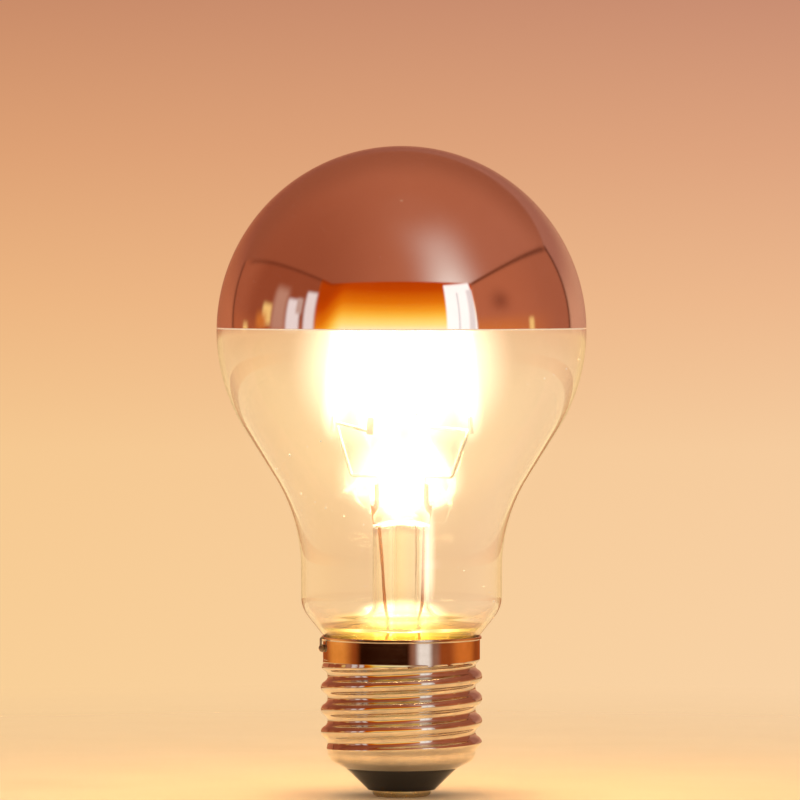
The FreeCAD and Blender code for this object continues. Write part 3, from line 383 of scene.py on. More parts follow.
def make_plating():
    """Nickel plate on rolled sheet: drawn rings and rubbed patches."""
    paint = Paint("nickel_plate")
    paint.set(Metallic=1.0)
    drawn = paint.noise(1400.0, 3.0, 0.6, paint.stretched(0.05, 0.05, 1.0))
    smudge = paint.noise(140.0, 4.0, 0.6)
    paint.colour(paint.ramp(smudge, (0.3, srgb(196, 188, 176)), (0.7, srgb(226, 220, 210))))
    rings = paint.ramp(drawn, (0.3, 0.02), (0.8, 0.07))
    rubbed = paint.ramp(smudge, (0.3, 0.02), (0.75, 0.09))
    paint.roughness(paint.mix(0.5, rings, rubbed))
    paint.bump(drawn, 0.05, 0.00002)
    return paint.material


blown_glass = make_blown_glass()
worked_glass = make_worked_glass()
mirror_film = make_mirror()
lit_coating = make_glow()
black_glass = make_black_glass()
plating = make_plating()
steel_wire = make_metal(
    "steel_wire", srgb(196, 192, 184), srgb(226, 222, 214), (0.35, 0.6), 1500.0, (1, 1, 0.1))
copper_wire = make_metal("copper_wire", srgb(168, 96, 50), srgb(222, 150, 96), (0.25, 0.5), 900.0)
tinned_wire = make_metal("tinned_wire", srgb(150, 142, 134), srgb(190, 182, 174), (0.25, 0.45), 1200.0)
strip_steel = make_metal("strip_steel", srgb(204, 201, 194), srgb(228, 225, 218), (0.35, 0.58), 1100.0)
contact_metal = make_metal("contact_metal", srgb(176, 158, 118), srgb(214, 200, 164), (0.18, 0.42), 700.0)
solder_metal = make_metal(
    "solder_metal", srgb(124, 112, 102), srgb(168, 156, 144), (0.2, 0.5), 500.0, bump=0.5)
cement_grain = make_plain(
    "cement_grain", srgb(196, 178, 134), srgb(228, 214, 176), (0.8, 0.95), 1200.0, 0.8, 0.0002)
board_green = make_plain("board_laminate", srgb(176, 172, 148), srgb(206, 202, 180), (0.35, 0.5), 1500.0)
moulded_black = make_plain("moulded_black", srgb(24, 24, 26), srgb(40, 40, 43), (0.45, 0.65), 2500.0)
seed_white = make_plain("seed_white", srgb(232, 226, 214), srgb(250, 246, 238), (0.3, 0.6), 2500.0)
sleeve = make_plain("can_sleeve", srgb(24, 28, 40), srgb(38, 42, 56), (0.2, 0.35), 300.0, 0.1)
lacquer = make_plain("resistor_lacquer", srgb(84, 112, 84), srgb(104, 134, 100), (0.2, 0.35), 500.0)


# Glass envelope and silvering

CENTRE, BULB, WALL = 75.5, 30.0, 0.7
RIM, NECK, NECK_END, SWEEP = 26.0, 16.3, 32.6, 28.0
NECK_TOP = NECK_END + 4.404
CONE, SLOPE = 32.2, 38.0
SHOULDER, BLEND, TAIL = 5.5, 1.5, 11.6


def bulb_side(inset):
    """The glass's side from the crown's top to the end of the tail, set in by inset."""
    slope = math.radians(SLOPE)
    end = (NECK - SHOULDER + SHOULDER * math.cos(slope), NECK_END - SHOULDER * math.sin(slope))
    start = TAIL + BLEND * (1 - math.cos(slope))
    level = end[1] - (end[0] - start) / math.tan(slope) - BLEND * math.sin(slope)
    sphere = arc((0, CENTRE), BULB - inset, 90, -CONE, 110)
    sweep = arc((NECK + SWEEP, NECK_TOP), SWEEP + inset, 180 - CONE, 180, 24)
    shoulder = arc((NECK - SHOULDER, NECK_END), SHOULDER - inset, 0, -SLOPE, 14)
    blend_arc = arc((TAIL + BLEND, level), BLEND + inset, 180 - SLOPE, 180, 8)
    cone = run(sphere[-1], sweep[0], 6)[:-1]
    neck = run(sweep[-1], shoulder[0], 4)[:-1]
    slant = run(shoulder[-1], blend_arc[0], 4)[:-1]
    return sphere + cone + sweep + neck + shoulder + slant + blend_arc + [(TAIL - inset, RIM - 4.4)]


outer, inner = bulb_side(0.0), bulb_side(WALL)
outer[0], inner[0] = (0, CENTRE + BULB), (0, CENTRE + BULB - WALL)
envelope = lathe(outer + inner[::-1], 192, closed=False)
finish_mesh("bulb_glass", envelope, blown_glass, "clear_glass", ["glass_bulb"])

FILM_EDGE = 0.3
film_outer = arc((0, CENTRE), FILM_OUTER, 90, 2, 88)
film_outer += arc((0, CENTRE), FILM_OUTER, 2, math.degrees(FILM_EDGE / FILM_OUTER), 3)[1:]
film_inner = arc((0, CENTRE), FILM_INNER, 90, math.degrees(FILM_EDGE / FILM_INNER), 89)
film_outer[0], film_inner[0] = (0, CENTRE + FILM_OUTER), (0, CENTRE + FILM_INNER)
film = lathe(film_outer + film_inner[::-1], 192, closed=False)
finish_mesh("crown_film", film, mirror_film, "silvering", ["silver_crown"])


SEEDS = 44


def make_seeds():
    """Specks and tiny seeds on the inside of the glass, which catch the strips' light."""
    bm = bmesh.new()
    near = [point for point in inner if point[1] < CENTRE]
    for number in range(SEEDS):
        turn = number * 2.39996
        drop = 3.0 + 42.0 * ((number * 0.6180339) % 1.0)
        level = CENTRE - drop
        reach = min(near, key=lambda point: abs(point[1] - level))[0] - 0.02
        size = 0.06 + 0.12 * ((number * 0.7548776) % 1.0) ** 2
        spot = Matrix.Translation((reach * math.cos(turn), reach * math.sin(turn), level))
        stretch = Matrix.Diagonal((1.0, 1.0, 1.0 + 0.7 * math.sin(number), 1.0))
        bmesh.ops.create_icosphere(bm, subdivisions=2, radius=size, matrix=spot @ stretch)
    finish_mesh("glass_seeds", bm, seed_white, "clear_glass")


make_seeds()


# Stem: flare, tube and pinch in one piece of glass

FLARE_TOP, TUBE_TOP, PINCH_BASE, PINCH_TOP = 31.0, 45.0, 48.2, 51.0
STEM, STEM_WALL, FLARE, FLARE_TURN = 4.7, 0.6, 2.2, 82.0


def flare_edge(radius):
    """Where the flat part of the flare, that far from its curve's centre, meets the shoulder's inside."""
    turn, slope = math.radians(FLARE_TURN), math.radians(SLOPE)
    start = arc((STEM + FLARE, FLARE_TOP), radius, 180 + FLARE_TURN, 180 + FLARE_TURN, 1)[0]
    inset = WALL + 0.02
    edge_x = NECK - SHOULDER + (SHOULDER - inset) * math.cos(slope)
    edge_z = NECK_END - (SHOULDER - inset) * math.sin(slope)
    gap = (edge_x - start[0]) - (edge_z - start[1]) * math.tan(slope)
    along = gap / (math.sin(turn) + math.cos(turn) * math.tan(slope))
    return start[0] + along * math.sin(turn), start[1] - along * math.cos(turn)


def pinch_section(level):
    """Half width, half depth and squareness of the stem's outside at that height."""
    share = smooth(TUBE_TOP - 1.2, PINCH_BASE, level)
    width = STEM + (5.1 - STEM) * share
    depth = STEM + (2.5 - STEM) * share
    return width, depth, 2.0 + 2.2 * share


def section_ring(width, depth, square, level, segments, dent=0.0):
    """A rounded section, with a shallow press mark on its two wide faces."""
    points = []
    for step in range(segments):
        angle = 2 * math.pi * step / segments
        c, s = math.cos(angle), math.sin(angle)
        reach = (abs(c) ** square + abs(s) ** square) ** (-1 / square)
        x, y = width * reach * c, depth * reach * s
        mark = dent * (1 - smooth(0.45, 0.75, abs(x) / width)) if dent else 0.0
        points.append((x, y * (1 - mark), level))
    return points


def make_stem():
    segments = 96
    curve = (STEM + FLARE, FLARE_TOP)
    outside = [flare_edge(FLARE)] + arc(curve, FLARE, 180 + FLARE_TURN, 180, 16)
    outside += run((STEM, FLARE_TOP), (STEM, TUBE_TOP - 1.4), 8)
    rings = [ring(radius, level, segments) for radius, level in outside]
    for step in range(1, 25):
        level = TUBE_TOP - 1.4 + (PINCH_TOP - 0.5 - TUBE_TOP + 1.4) * step / 24
        width, depth, square = pinch_section(level)
        dent = 0.07 * smooth(PINCH_BASE - 0.9, PINCH_BASE, level) * (1 - smooth(50.0, 50.5, level))
        rings.append(section_ring(width, depth, square, level, segments, dent))
    for step in range(1, 7):
        angle = math.radians(90 * step / 6)
        cut = 0.5 * (1 - math.cos(angle))
        level = PINCH_TOP - 0.5 + 0.5 * math.sin(angle)
        rings.append(section_ring(5.1 - cut, 2.5 - cut, 4.2, level, segments))
    rings.append(section_ring(3.0, 1.2, 3.0, PINCH_TOP, segments))
    rings.append([(0, 0, PINCH_TOP)])
    bore = STEM - STEM_WALL
    inside = [(0.0, TUBE_TOP - 0.2)] + arc((bore - 1.2, TUBE_TOP - 1.4), 1.2, 90, 0, 8)
    inside += run((bore, TUBE_TOP - 1.4), (bore, FLARE_TOP), 8)
    inside += arc(curve, FLARE + STEM_WALL, 180, 180 + FLARE_TURN, 16)[1:] + [flare_edge(FLARE + STEM_WALL)]
    bm = bmesh.new()
    outer_rings = add_rings(bm, rings, closed=False)
    inner_rings = add_rings(bm, [ring(radius, level, segments) for radius, level in inside], closed=False)
    first, last = outer_rings[0], inner_rings[-1]
    for step in range(segments):
        after = (step + 1) % segments
        bm.faces.new((first[step], first[after], last[after], last[step]))
    finish_mesh("stem_glass", bm, worked_glass, "stem_glass", ["glass_stem"])


make_stem()

EXHAUST, EXHAUST_WALL, EXHAUST_X, EXHAUST_TIP = 2.2, 0.6, 0.7, 17.6
tube_outside = arc((0, EXHAUST_TIP + EXHAUST), EXHAUST, -90, 0, 14)
tube_outside[0] = (0, EXHAUST_TIP)
tube_outside += run(tube_outside[-1], (EXHAUST, TUBE_TOP - 0.25), 14)
bore = EXHAUST - EXHAUST_WALL
tube_inside = arc((0, EXHAUST_TIP + EXHAUST), bore, 0, -90, 12)
tube_inside[-1] = (0, EXHAUST_TIP + EXHAUST_WALL)
tube_inside = run((bore, TUBE_TOP - 0.25), tube_inside[0], 14) + tube_inside[1:]
tube = lathe(tube_outside + [(bore, TUBE_TOP - 0.25)] + tube_inside, 64, (EXHAUST_X, 0.0), closed=False)
finish_mesh("pumping_tube", tube, worked_glass, "stem_glass", ["exhaust_tube"])

ROD, FOOT, FOOT_CURVE = 1.87, 5.4, 14.0
BALL, BALL_LEVEL = 2.3, 97.8
foot_angle = math.degrees(math.asin(FOOT / FOOT_CURVE))
rod_outline = [(0.0, PINCH_TOP + 0.02)]
rod_outline += arc((ROD + FOOT_CURVE, PINCH_TOP + FOOT), FOOT_CURVE, 180 + foot_angle, 180, 16)
ball_angle = math.degrees(math.acos(ROD / BALL))
rod_outline += run(rod_outline[-1], (ROD, BALL_LEVEL - BALL * math.sin(math.radians(ball_angle))), 20)
ball_arc = arc((0, BALL_LEVEL), BALL, -ball_angle, 90, 20)[1:]
ball_arc[-1] = (0, BALL_LEVEL + BALL)
rod = lathe(rod_outline + ball_arc, 64, closed=False)
finish_mesh("rod_glass", rod, worked_glass, "stem_glass", ["centre_rod"])


# Light strips

STRIP_FOOT, STRIP_RING, STRIP_ANGLE, LEAN = 59.1, 12.4, -24.0, 8.2
TAB, LENGTH = 2.8, 38.0
COAT_DEPTH, COAT_WIDTH = 0.64, 0.79


def strip_place(number):
    angle = math.radians(STRIP_ANGLE + 90 * number)
    move = Matrix.Translation((STRIP_RING * math.cos(angle), STRIP_RING * math.sin(angle), STRIP_FOOT))
    return move @ Matrix.Rotation(angle, 4, "Z") @ Matrix.Rotation(math.radians(-LEAN), 4, "Y")


for number in range(4):
    rings = [[(0, 0, TAB)]]
    for step in range(61):
        share = step / 60
        level = TAB + (LENGTH - 2 * TAB) * share
        from_end = min(level - TAB, LENGTH - TAB - level)
        end = math.sqrt(max(0.0, 1 - (1 - min(1.0, from_end / 0.45)) ** 2)) * 0.3 + 0.7
        swell = end * (1 - 0.03 * noise.noise(Vector((number * 7.3, 0.0, level * 0.9))))
        rings.append(section_ring(COAT_DEPTH * swell, COAT_WIDTH * swell, 2.8, level, 28))
    rings.append([(0, 0, LENGTH - TAB)])
    bm = bmesh.new()
    add_rings(bm, rings, closed=False)
    bmesh.ops.transform(bm, matrix=strip_place(number), verts=bm.verts)
    node = f"filament_{number + 1}_phosphor"
    finish_mesh(f"strip_glow_{number + 1}", bm, lit_coating, "lit_phosphor", [node])


# Screw cap

CREST, PITCH, ROUND, SHEET = 13.1, 3.629, 1.025, 0.28
ROOT = CREST - 2 * (ROUND - math.sqrt(ROUND**2 - (PITCH / 4) ** 2))
SCREW_START, SCREW_END, GROOVE, FADE = 7.0, 23.1, 21.3, 0.55 * PITCH
SKIRT, RIM_OUT = 12.74, 0.26
LIP_BEND, LIP_TURN, LIP_LENGTH = 1.6, 62, 2.0
NOTCH, NOTCH_HALF, NOTCH_FLOOR = math.radians(190), 0.0165, 25.25


def screw_radius(angle, level, inset):
    """Rounded crest or groove at that angle and height, faded out at both ends."""
    crest_half = (ROUND - inset) * PITCH / (4 * ROUND)
    away = level - (GROOVE - PITCH / 2) - PITCH * (angle / (2 * math.pi))
    away = abs((away + PITCH / 2) % PITCH - PITCH / 2)
    if away <= crest_half:
        waved = CREST - ROUND + math.sqrt((ROUND - inset) ** 2 - away**2)
    else:
        waved = ROOT + ROUND - math.sqrt((ROUND + inset) ** 2 - (PITCH / 2 - away) ** 2)
    along = min(1.0, (level - SCREW_START) / 14.5)
    plain = ROOT + (SKIRT - ROOT) * along - inset
    from_end = SCREW_END - 0.5 - level - (0.7 if waved > plain else 0.0)
    share = smooth(0, 1, min(1.0, (level - SCREW_START) / FADE, from_end / 1.5))
    return plain + share * (waved - plain)


def lip_end_from(start):
    """The end of the lip's straight part, which begins at start."""
    turn = math.radians(LIP_TURN)
    return start[0] - LIP_LENGTH * math.sin(turn), start[1] - LIP_LENGTH * math.cos(turn)


def cap_profile(inset):
    """The sheet's section from the rim to the end of the lip: radius, or None in the screw, and height."""
    rim, skirt = SKIRT + RIM_OUT - inset, SKIRT - inset
    points = [(rim, level) for level in (25.9, 25.88, 25.65, 25.62)]
    points += [(rim - 0.04, 25.58), (rim - 0.14, 25.54), (skirt + 0.05, 25.52), (skirt + 0.01, 25.47)]
    points += [(skirt, level) for level in (25.43, 25.36, 25.25, 24.9, 24.5, 24.0, 23.5)]
    rows = 112
    for row in range(rows + 1):
        points.append((None, SCREW_END + (SCREW_START - SCREW_END) * row / rows))
    points += arc((ROOT - LIP_BEND, SCREW_START), LIP_BEND - inset, 0, -LIP_TURN, 10)[1:]
    points.append(lip_end_from(points[-1]))
    return points


def make_cap():
    angles = [2 * math.pi * step / 288 for step in range(288)]
    angles = [angle for angle in angles if abs(angle - NOTCH) > 0.03]
    angles += [NOTCH + NOTCH_HALF * share for share in (-1.25, -1, -0.5, 0, 0.5, 1, 1.25)]
    angles.sort()
    outside, inside = cap_profile(0.0), cap_profile(SHEET)
    rim = SKIRT + RIM_OUT
    top = [(SKIRT, 25.96), (rim - 0.2, RIM), (rim - 0.08, RIM), (rim - 0.02, 25.96)]
    rings = []
    for profile, inset in ((top, 0.0), (outside, 0.0), (inside[::-1], SHEET)):
        for radius, level in profile:
            points = []
            for angle in angles:
                reach = screw_radius(angle, level, inset) if radius is None else radius
                in_notch = abs(angle - NOTCH) <= NOTCH_HALF
                low = min(level, NOTCH_FLOOR) if in_notch else level
                points.append((reach * math.cos(angle), reach * math.sin(angle), low))
            rings.append(points)
    bm = bmesh.new()
    add_rings(bm, rings)
    bmesh.ops.dissolve_degenerate(bm, dist=1e-5, edges=bm.edges)
    finish_mesh("cap_sheet", bm, plating, "cap_plating", ["cap_shell"])


make_cap()

lower_lip = arc((ROOT - LIP_BEND, SCREW_START), LIP_BEND - SHEET, 0, -LIP_TURN, 1)[1]
lip_end = lip_end_from(lower_lip)
glass_edge = 11.424
outline = [(1.3, 1.02), (5.0, 1.02)] + arc((5.25, 1.45), 0.43, -90, -20, 6)
outline += run(outline[-1], (lip_end[0] - 0.15, lip_end[1] - 0.3), 6) + [(lip_end[0], lip_end[1] - 0.02)]
outline += [(lower_lip[0] - 0.02, lower_lip[1] + 0.02), (glass_edge, 7.22), (glass_edge, 7.75)]
outline += arc((glass_edge - 0.45, 7.75), 0.45, 0, 90, 5)[1:] + [(10.0, 8.2)]
outline += arc((9.5, 7.6), 0.6, 60, 180, 6)
outline += [(8.6, 7.0), (3.2, 7.0), (2.6, 7.3), (2.3, 7.95), (1.3, 7.97)]
finish_mesh("poured_glass", lathe(outline, 128), black_glass, "black_glass", ["cap_insulator"])

outline = [(0, 0.1), (1.4, 0.1)] + arc((1.4, 0.05), 0.05, 90, -90, 2)
outline += [(1.55, 0.0), (3.1, 0.0), (3.2, 0.07), (3.35, 0.07), (3.45, 0.0), (3.95, 0.0)]
outline += arc((3.95, 0.8), 0.8, -90, 0, 10)[1:] + [(4.75, 0.98), (4.6, 1.0), (1.3, 1.0)]
outline += [(1.3, 8.88), (0.98, 9.2), (0.33, 9.2), (0.33, 5.8), (0, 5.8)]
contact = lathe(outline, 96, closed=False)
finish_mesh("end_contact", contact, contact_metal, "contact_metal", ["centre_contact"])


SOLDER, SOLDER_LEVEL = 0.62, 24.1


def make_solder():
    """A wetted drop on the skirt, flattened where it runs out on the sheet."""
    bm = bmesh.new()
    bmesh.ops.create_icosphere(bm, subdivisions=4, radius=1.0)
    middle = SKIRT + 0.28
    for vert in bm.verts:
        x, y, z = vert.co
        lump = 1 + 0.05 * noise.noise(vert.co * 1.7)
        reach = max(0.0, x * SOLDER * lump + middle)
        across = y * SOLDER * lump / SKIRT
        level = SOLDER_LEVEL + z * SOLDER * lump
        reach = max(reach, SKIRT + 0.004)
        vert.co = Vector((reach * math.cos(NOTCH + across), reach * math.sin(NOTCH + across), level))
    finish_mesh("solder_drop", bm, solder_metal, "solder", ["side_solder"])


make_solder()

corners = [(11.66, 23.15), (12.4, 23.15), (12.42, 24.6), (12.2, 24.72), (11.9, 24.66), (11.72, 24.7)]
outline = []
for corner, following in zip(corners, corners[1:] + corners[:1]):
    outline += run(corner, following, 4)
cement = lathe(outline, 180)
for vert in cement.verts:
    lump = noise.noise(vert.co * 2.3) * 0.05 + noise.noise(vert.co * 7.0) * 0.02
    vert.co.z += lump
    vert.co.x *= 1 + lump * 0.01
finish_mesh("cement_ring", cement, cement_grain, "cement", ["capping_cement"])


# Finishes of the CAD's own pieces

FINISHES = {
    "carrier": strip_steel,
    "lead_wire": steel_wire,
    "bridge_wire": steel_wire,
    "seal_wire": copper_wire,
    "outer_wire": copper_wire,
    "supply_wire": tinned_wire,
    "driver_board": board_green,
    "rectifier": moulded_black,
    "driver_chip": moulded_black,
    "chip_resistor": moulded_black,
    "capacitor": sleeve,
    "fusible": lacquer,
}
for name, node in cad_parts.items():
    for key, material in FINISHES.items():
        if key in name:
            node.data.materials.clear()
            node.data.materials.append(material)


# Studio: floor, surroundings that polished parts mirror, painted glow and glare, and a backdrop with
# painted lamplight

# Backdrop tones, low to high: painted lamplight, palest low down and darker towards the top.
BACKDROP = (
    (0.1, srgb(249, 209, 159)),
    (0.405, srgb(246, 202, 152)),
    (0.586, srgb(237, 183, 136)),
    (0.767, srgb(222, 162, 122)),
    (0.95, srgb(202, 141, 110)),
)


def make_floor():
    """Pale floor that thins out into the backdrop."""
    paint = Paint("floor")
    grain = paint.noise(40.0, 3.0, 0.5)
    paint.colour(paint.ramp(grain, (0.3, (0.9, 0.625, 0.345)), (0.7, (0.93, 0.65, 0.365))))
    paint.set(Roughness=0.9)
    paint.shader.inputs["Specular IOR Level"].default_value = 0.1
    distance = paint.node("ShaderNodeVectorMath", operation="LENGTH")
    paint.link(paint.where(), distance.inputs[0])
    fade = paint.ramp(distance.outputs["Value"], (0.04, 0.0), (0.3, 1.0))
    clear = paint.node("ShaderNodeBsdfTransparent")
    mixer = paint.node("ShaderNodeMixShader")
    paint.link(fade, mixer.inputs[0])
    paint.link(paint.shader.outputs[0], mixer.inputs[1])
    paint.link(clear.outputs[0], mixer.inputs[2])
    paint.link(mixer.outputs[0], paint.output.inputs["Surface"])
    bm = bmesh.new()
    add_rings(bm, [[(0, 0, 0)]] + [ring(radius, 0, 64) for radius in (60, 200, 400)], closed=False)
    floor = finish_mesh("floor", bm, paint.material)


make_floor()


def wall_top(azimuth):
    """Elevation at which the ceiling starts in that direction: four flat walls round the lamp."""
    if -49 <= azimuth <= 48.3:
        return 31.4 - 4.0 * (azimuth / 49) ** 2
    if 48.3 < azimuth <= 131.3:
        middle, rise = 84.3, 0.6457
    elif -137.6 <= azimuth < -49:
        middle, rise = -77.4, 0.5913
    else:
        middle, rise = 165.5, 0.533
    return math.degrees(math.atan(rise * math.cos(math.radians(azimuth - middle))))


def bell(value, middle, width):
    """1 at the middle, and a soft fall to 0 beyond the width."""
    return math.exp(-(((value - middle) / width) ** 2))


WALL_TONES = (
    (0, (272, 262, 220)),
    (5, (272, 241, 134)),
    (9.5, (268, 206, 78)),
    (13, (260, 170, 42)),
    (18, (238, 124, 14)),
    (26, (205, 76, 3)),
    (32, (188, 66, 4)),
)


def front_wall(azimuth, elevation):
    """The wall that the lamp itself lights: nearly white at the horizon, deep orange towards its top."""
    elevation += 14 * (1 - smooth(-54, -37, azimuth))
    for (low, first), (high, second) in zip(WALL_TONES, WALL_TONES[1:]):
        if elevation >= low:
            tone = blend(srgb(*first), srgb(*second), min(1.0, (elevation - low) / (high - low)))
    return blend(srgb(176, 80, 34), tone, smooth(-59, -54, azimuth))


def side_wall(azimuth, elevation):
    if azimuth > 0:
        tone = blend(srgb(188, 104, 72), srgb(176, 98, 70), smooth(70, 120, azimuth))
        warmth = (1 - smooth(0, 11, elevation)) * (1 - smooth(66, 120, azimuth))
        tone = blend(tone, srgb(222, 124, 56), 0.75 * warmth)
        return blend(tone, srgb(128, 60, 40), 0.65 * bell(azimuth, 67, 7) * bell(elevation, 16, 5))
    tone = blend(srgb(156, 76, 48), srgb(172, 90, 60), smooth(105, 125, -azimuth))
    return blend(tone, srgb(200, 106, 60), 0.45 * (1 - smooth(0, 8, elevation)))


def back_wall(azimuth, elevation):
    right = smooth(-0.35, 0.35, math.sin(math.radians(azimuth)))
    low = blend(srgb(196, 112, 76), srgb(216, 152, 120), right)
    high = blend(srgb(160, 86, 62), srgb(176, 110, 90), right)
    return blend(low, high, smooth(3, 19, elevation))


def ceiling(azimuth, elevation):
    across = math.sin(math.radians(azimuth)) * math.cos(math.radians(elevation))
    tone = blend(srgb(160, 82, 54), srgb(184, 104, 74), smooth(-0.9, 0.1, across))
    tone = blend(tone, srgb(183, 106, 79), smooth(0.1, 0.9, across))
    behind = -math.cos(math.radians(azimuth)) * math.cos(math.radians(elevation))
    tone = blend(tone, srgb(148, 80, 56), 0.6 * smooth(0.3, 0.8, behind))
    sideways = (azimuth - 34) * math.cos(math.radians(elevation))
    spot = bell(sideways, 0, 14) * math.exp(-max(0, elevation - 30) / 27)
    return blend(tone, srgb(248, 224, 214), 0.9 * spot * (1 - 0.85 * smooth(52, 80, elevation)))


def room(azimuth, elevation):
    """What a polished part mirrors in a direction: azimuth 0 is the photo's side, 90 its right."""
    top = wall_top(azimuth)
    corner = -131.3 - 0.38 * elevation
    if -57 <= azimuth <= 48.3:
        wall = front_wall(azimuth, elevation)
    elif corner <= azimuth <= 131.3:
        wall = side_wall(azimuth, elevation)
    else:
        wall = back_wall(azimuth, elevation)
    tone = blend(wall, ceiling(azimuth, elevation), smooth(top - 0.6, top + 0.6, elevation))
    dark = srgb(84, 35, 22)
    edge = 0.75 * bell(elevation, top - 0.7, 0.9) * (1 - smooth(125, 135, abs(azimuth)))
    edge *= smooth(44, 52, azimuth) if azimuth > 0 else 0.6 * smooth(30, 60, -azimuth)
    tone = blend(tone, dark, edge)
    below = 1 - smooth(top - 1, top + 0.5, elevation)
    return blend(tone, dark, 0.9 * below * max(bell(azimuth, 131.3, 1.3), bell(azimuth, corner, 1.2)))


def pane(tone, azimuth, elevation, sides, heights, colour, soft):
    """Add a bright or dark card with soft edges to a tone."""
    inside = smooth(sides[0] - soft, sides[0] + soft, azimuth)
    inside *= 1 - smooth(sides[1] - soft, sides[1] + soft, azimuth)
    inside *= smooth(heights[0] - soft, heights[0] + soft, elevation)
    inside *= 1 - smooth(heights[1] - soft, heights[1] + soft, elevation)
    return blend(tone, colour, inside)


WINDOW, CURTAIN, LAMPLIGHT = (1.25, 1.2, 1.18), (0.92, 0.78, 0.77), srgb(255, 206, 128)
PANES = (
    ((36.4, 37.4), (0, 23), (0.78, 0.7, 0.72), 0.5),
    ((43.5, 47.5), (0, 24), (0.9, 0.8, 0.8), 1.0),
    ((-90, -79), (0, 20), srgb(196, 140, 118), 3.0),
    ((-78, -68), (-1, 16), CURTAIN, 1.6),
    ((-64.5, -57), (-1, 21), CURTAIN, 1.5),
    ((-71, -66.5), (9, 17), srgb(204, 166, 154), 1.5),
    ((-99, -91), (3, 11.5), LAMPLIGHT, 1.8),
    ((-104, -95), (1, 7), srgb(214, 120, 52), 3.0),
    ((-118, -113), (-1, 2.5), LAMPLIGHT, 1.5),
    ((88, 92), (-1, 6), LAMPLIGHT, 1.5),
)
CARDS = (
    ((-130, -84), srgb(258, 158, 66), 14),
    ((-66, 14), srgb(48, 16, 3), 7),
    ((14, 56), srgb(172, 122, 102), 6),
    ((23, 43), srgb(284, 272, 268), 5),
    ((84, 128), srgb(242, 130, 52), 12),
)


def mirrored(azimuth, elevation):
    tone = room(azimuth, max(0.0, elevation))
    window_end = 48.8 - 0.08 * max(0, elevation)
    tone = pane(tone, azimuth, elevation, (28.6, window_end), (-3, 28), WINDOW, 0.8)
    for sides, heights, colour, soft in PANES:
        tone = pane(tone, azimuth, elevation, sides, heights, colour, soft)
    pale = blend(srgb(248, 202, 142), srgb(286, 250, 190), smooth(2, 20, -elevation))
    low = blend(srgb(170, 104, 64), pale, smooth(60, 120, abs(azimuth)))
    return blend(low, tone, smooth(-1.5, -0.2, elevation))


def near_cards(azimuth, elevation):
    """The low ring of cards that only the cap's skirt mirrors."""
    tone = srgb(172, 80, 32)
    for sides, colour, soft in CARDS:
        tone = pane(tone, azimuth, elevation, sides, (-90, 90), colour, soft)
    return tone


def make_surroundings(name, tone_of, rows, across, spot_of, depth):
    """A shell of soft cards that only reflections see, through no more glass than depth allows."""
    paint = Paint(name)
    tones = paint.node("ShaderNodeVertexColor", layer_name="tone")
    light = paint.node("ShaderNodeEmission")
    paint.link(tones.outputs["Color"], light.inputs["Color"])
    path = paint.node("ShaderNodeLightPath")
    bounced = paint.math("GREATER_THAN", path.outputs["Glossy Depth"], 0.5)
    shallow = paint.math("LESS_THAN", path.outputs["Transmission Depth"], depth)
    clear = paint.node("ShaderNodeBsdfTransparent")
    mixer = paint.node("ShaderNodeMixShader")
    paint.link(paint.math("MULTIPLY", bounced, shallow), mixer.inputs[0])
    paint.link(clear.outputs[0], mixer.inputs[1])
    paint.link(light.outputs[0], mixer.inputs[2])
    paint.link(mixer.outputs[0], paint.output.inputs["Surface"])
    rings, tones_by_vert = [], []
    for row in rows:
        azimuths = [-180 + 360 * column / across for column in range(across)]
        rings.append([spot_of(math.radians(azimuth), row) for azimuth in azimuths])
        tones_by_vert += [tone_of(azimuth, row) for azimuth in azimuths]
    bm = bmesh.new()
    add_rings(bm, rings, closed=False)
    shell = finish_mesh(name, bm, paint.material)
    layer = shell.data.color_attributes.new("tone", "FLOAT_COLOR", "POINT")
    for value, tone in zip(layer.data, tones_by_vert):
        value.color = (*tone, 1.0)
    shell.visible_diffuse = False
    shell.visible_shadow = False
    shell.visible_camera = False


DOME, CARD_RING = 4000, 400


def on_dome(turn, elevation):
    tilt = math.radians(elevation)
    out = DOME * math.cos(tilt)
    return out * math.sin(turn), -out * math.cos(turn), CENTRE + DOME * math.sin(tilt)


def on_ring(turn, level):
    return CARD_RING * math.sin(turn), -CARD_RING * math.cos(turn), level


make_surroundings("room", mirrored, [-60 + 0.75 * row for row in range(200)], 480, on_dome, 2.5)
make_surroundings("near_cards", near_cards, [-30, -15, 0, 6], 240, on_ring, 0.5)


# Painted glow and glare inside the bulb, where no lamp is: name, centre, radius and height, squareness,
# strength and colour of each glowing shape; they paint the strips' glare and their light on the pinch,
# wires, stem, flare and neck.
GLOWS = (
    ("core", (0, 0, 70.0), (19.0, 18.0), 2, 112.0, (1.0, 0.86, 0.62)),
    ("pinch", (0, 0, 52.0), (11.2, 7.8), 2, 160.0, (1.0, 0.86, 0.6)),
    ("legs", (0, -3.4, 48.0), (5.4, 4.4), 2, 230.0, (1.0, 0.88, 0.62)),
    ("stem", (0, 0, 39.0), (5.6, 10.0), 4, 62.0, (1.0, 0.84, 0.46)),
    ("streak", (4.1, -1.8, 39.5), (1.7, 9.5), 4, 360.0, (1.0, 0.94, 0.72)),
    ("flare", (0, 0, 29.2), (8.2, 3.2), 2, 290.0, (1.0, 0.93, 0.55)),
    ("neck", (0, 0, 27.5), (12.9, 2.4), 4, 105.0, (1.0, 0.74, 0.12)),
    ("haze", (0, 0, 67.0), (28.6, 30.0), 2, 6.5, (0.75, 0.95, 0.55)),
)


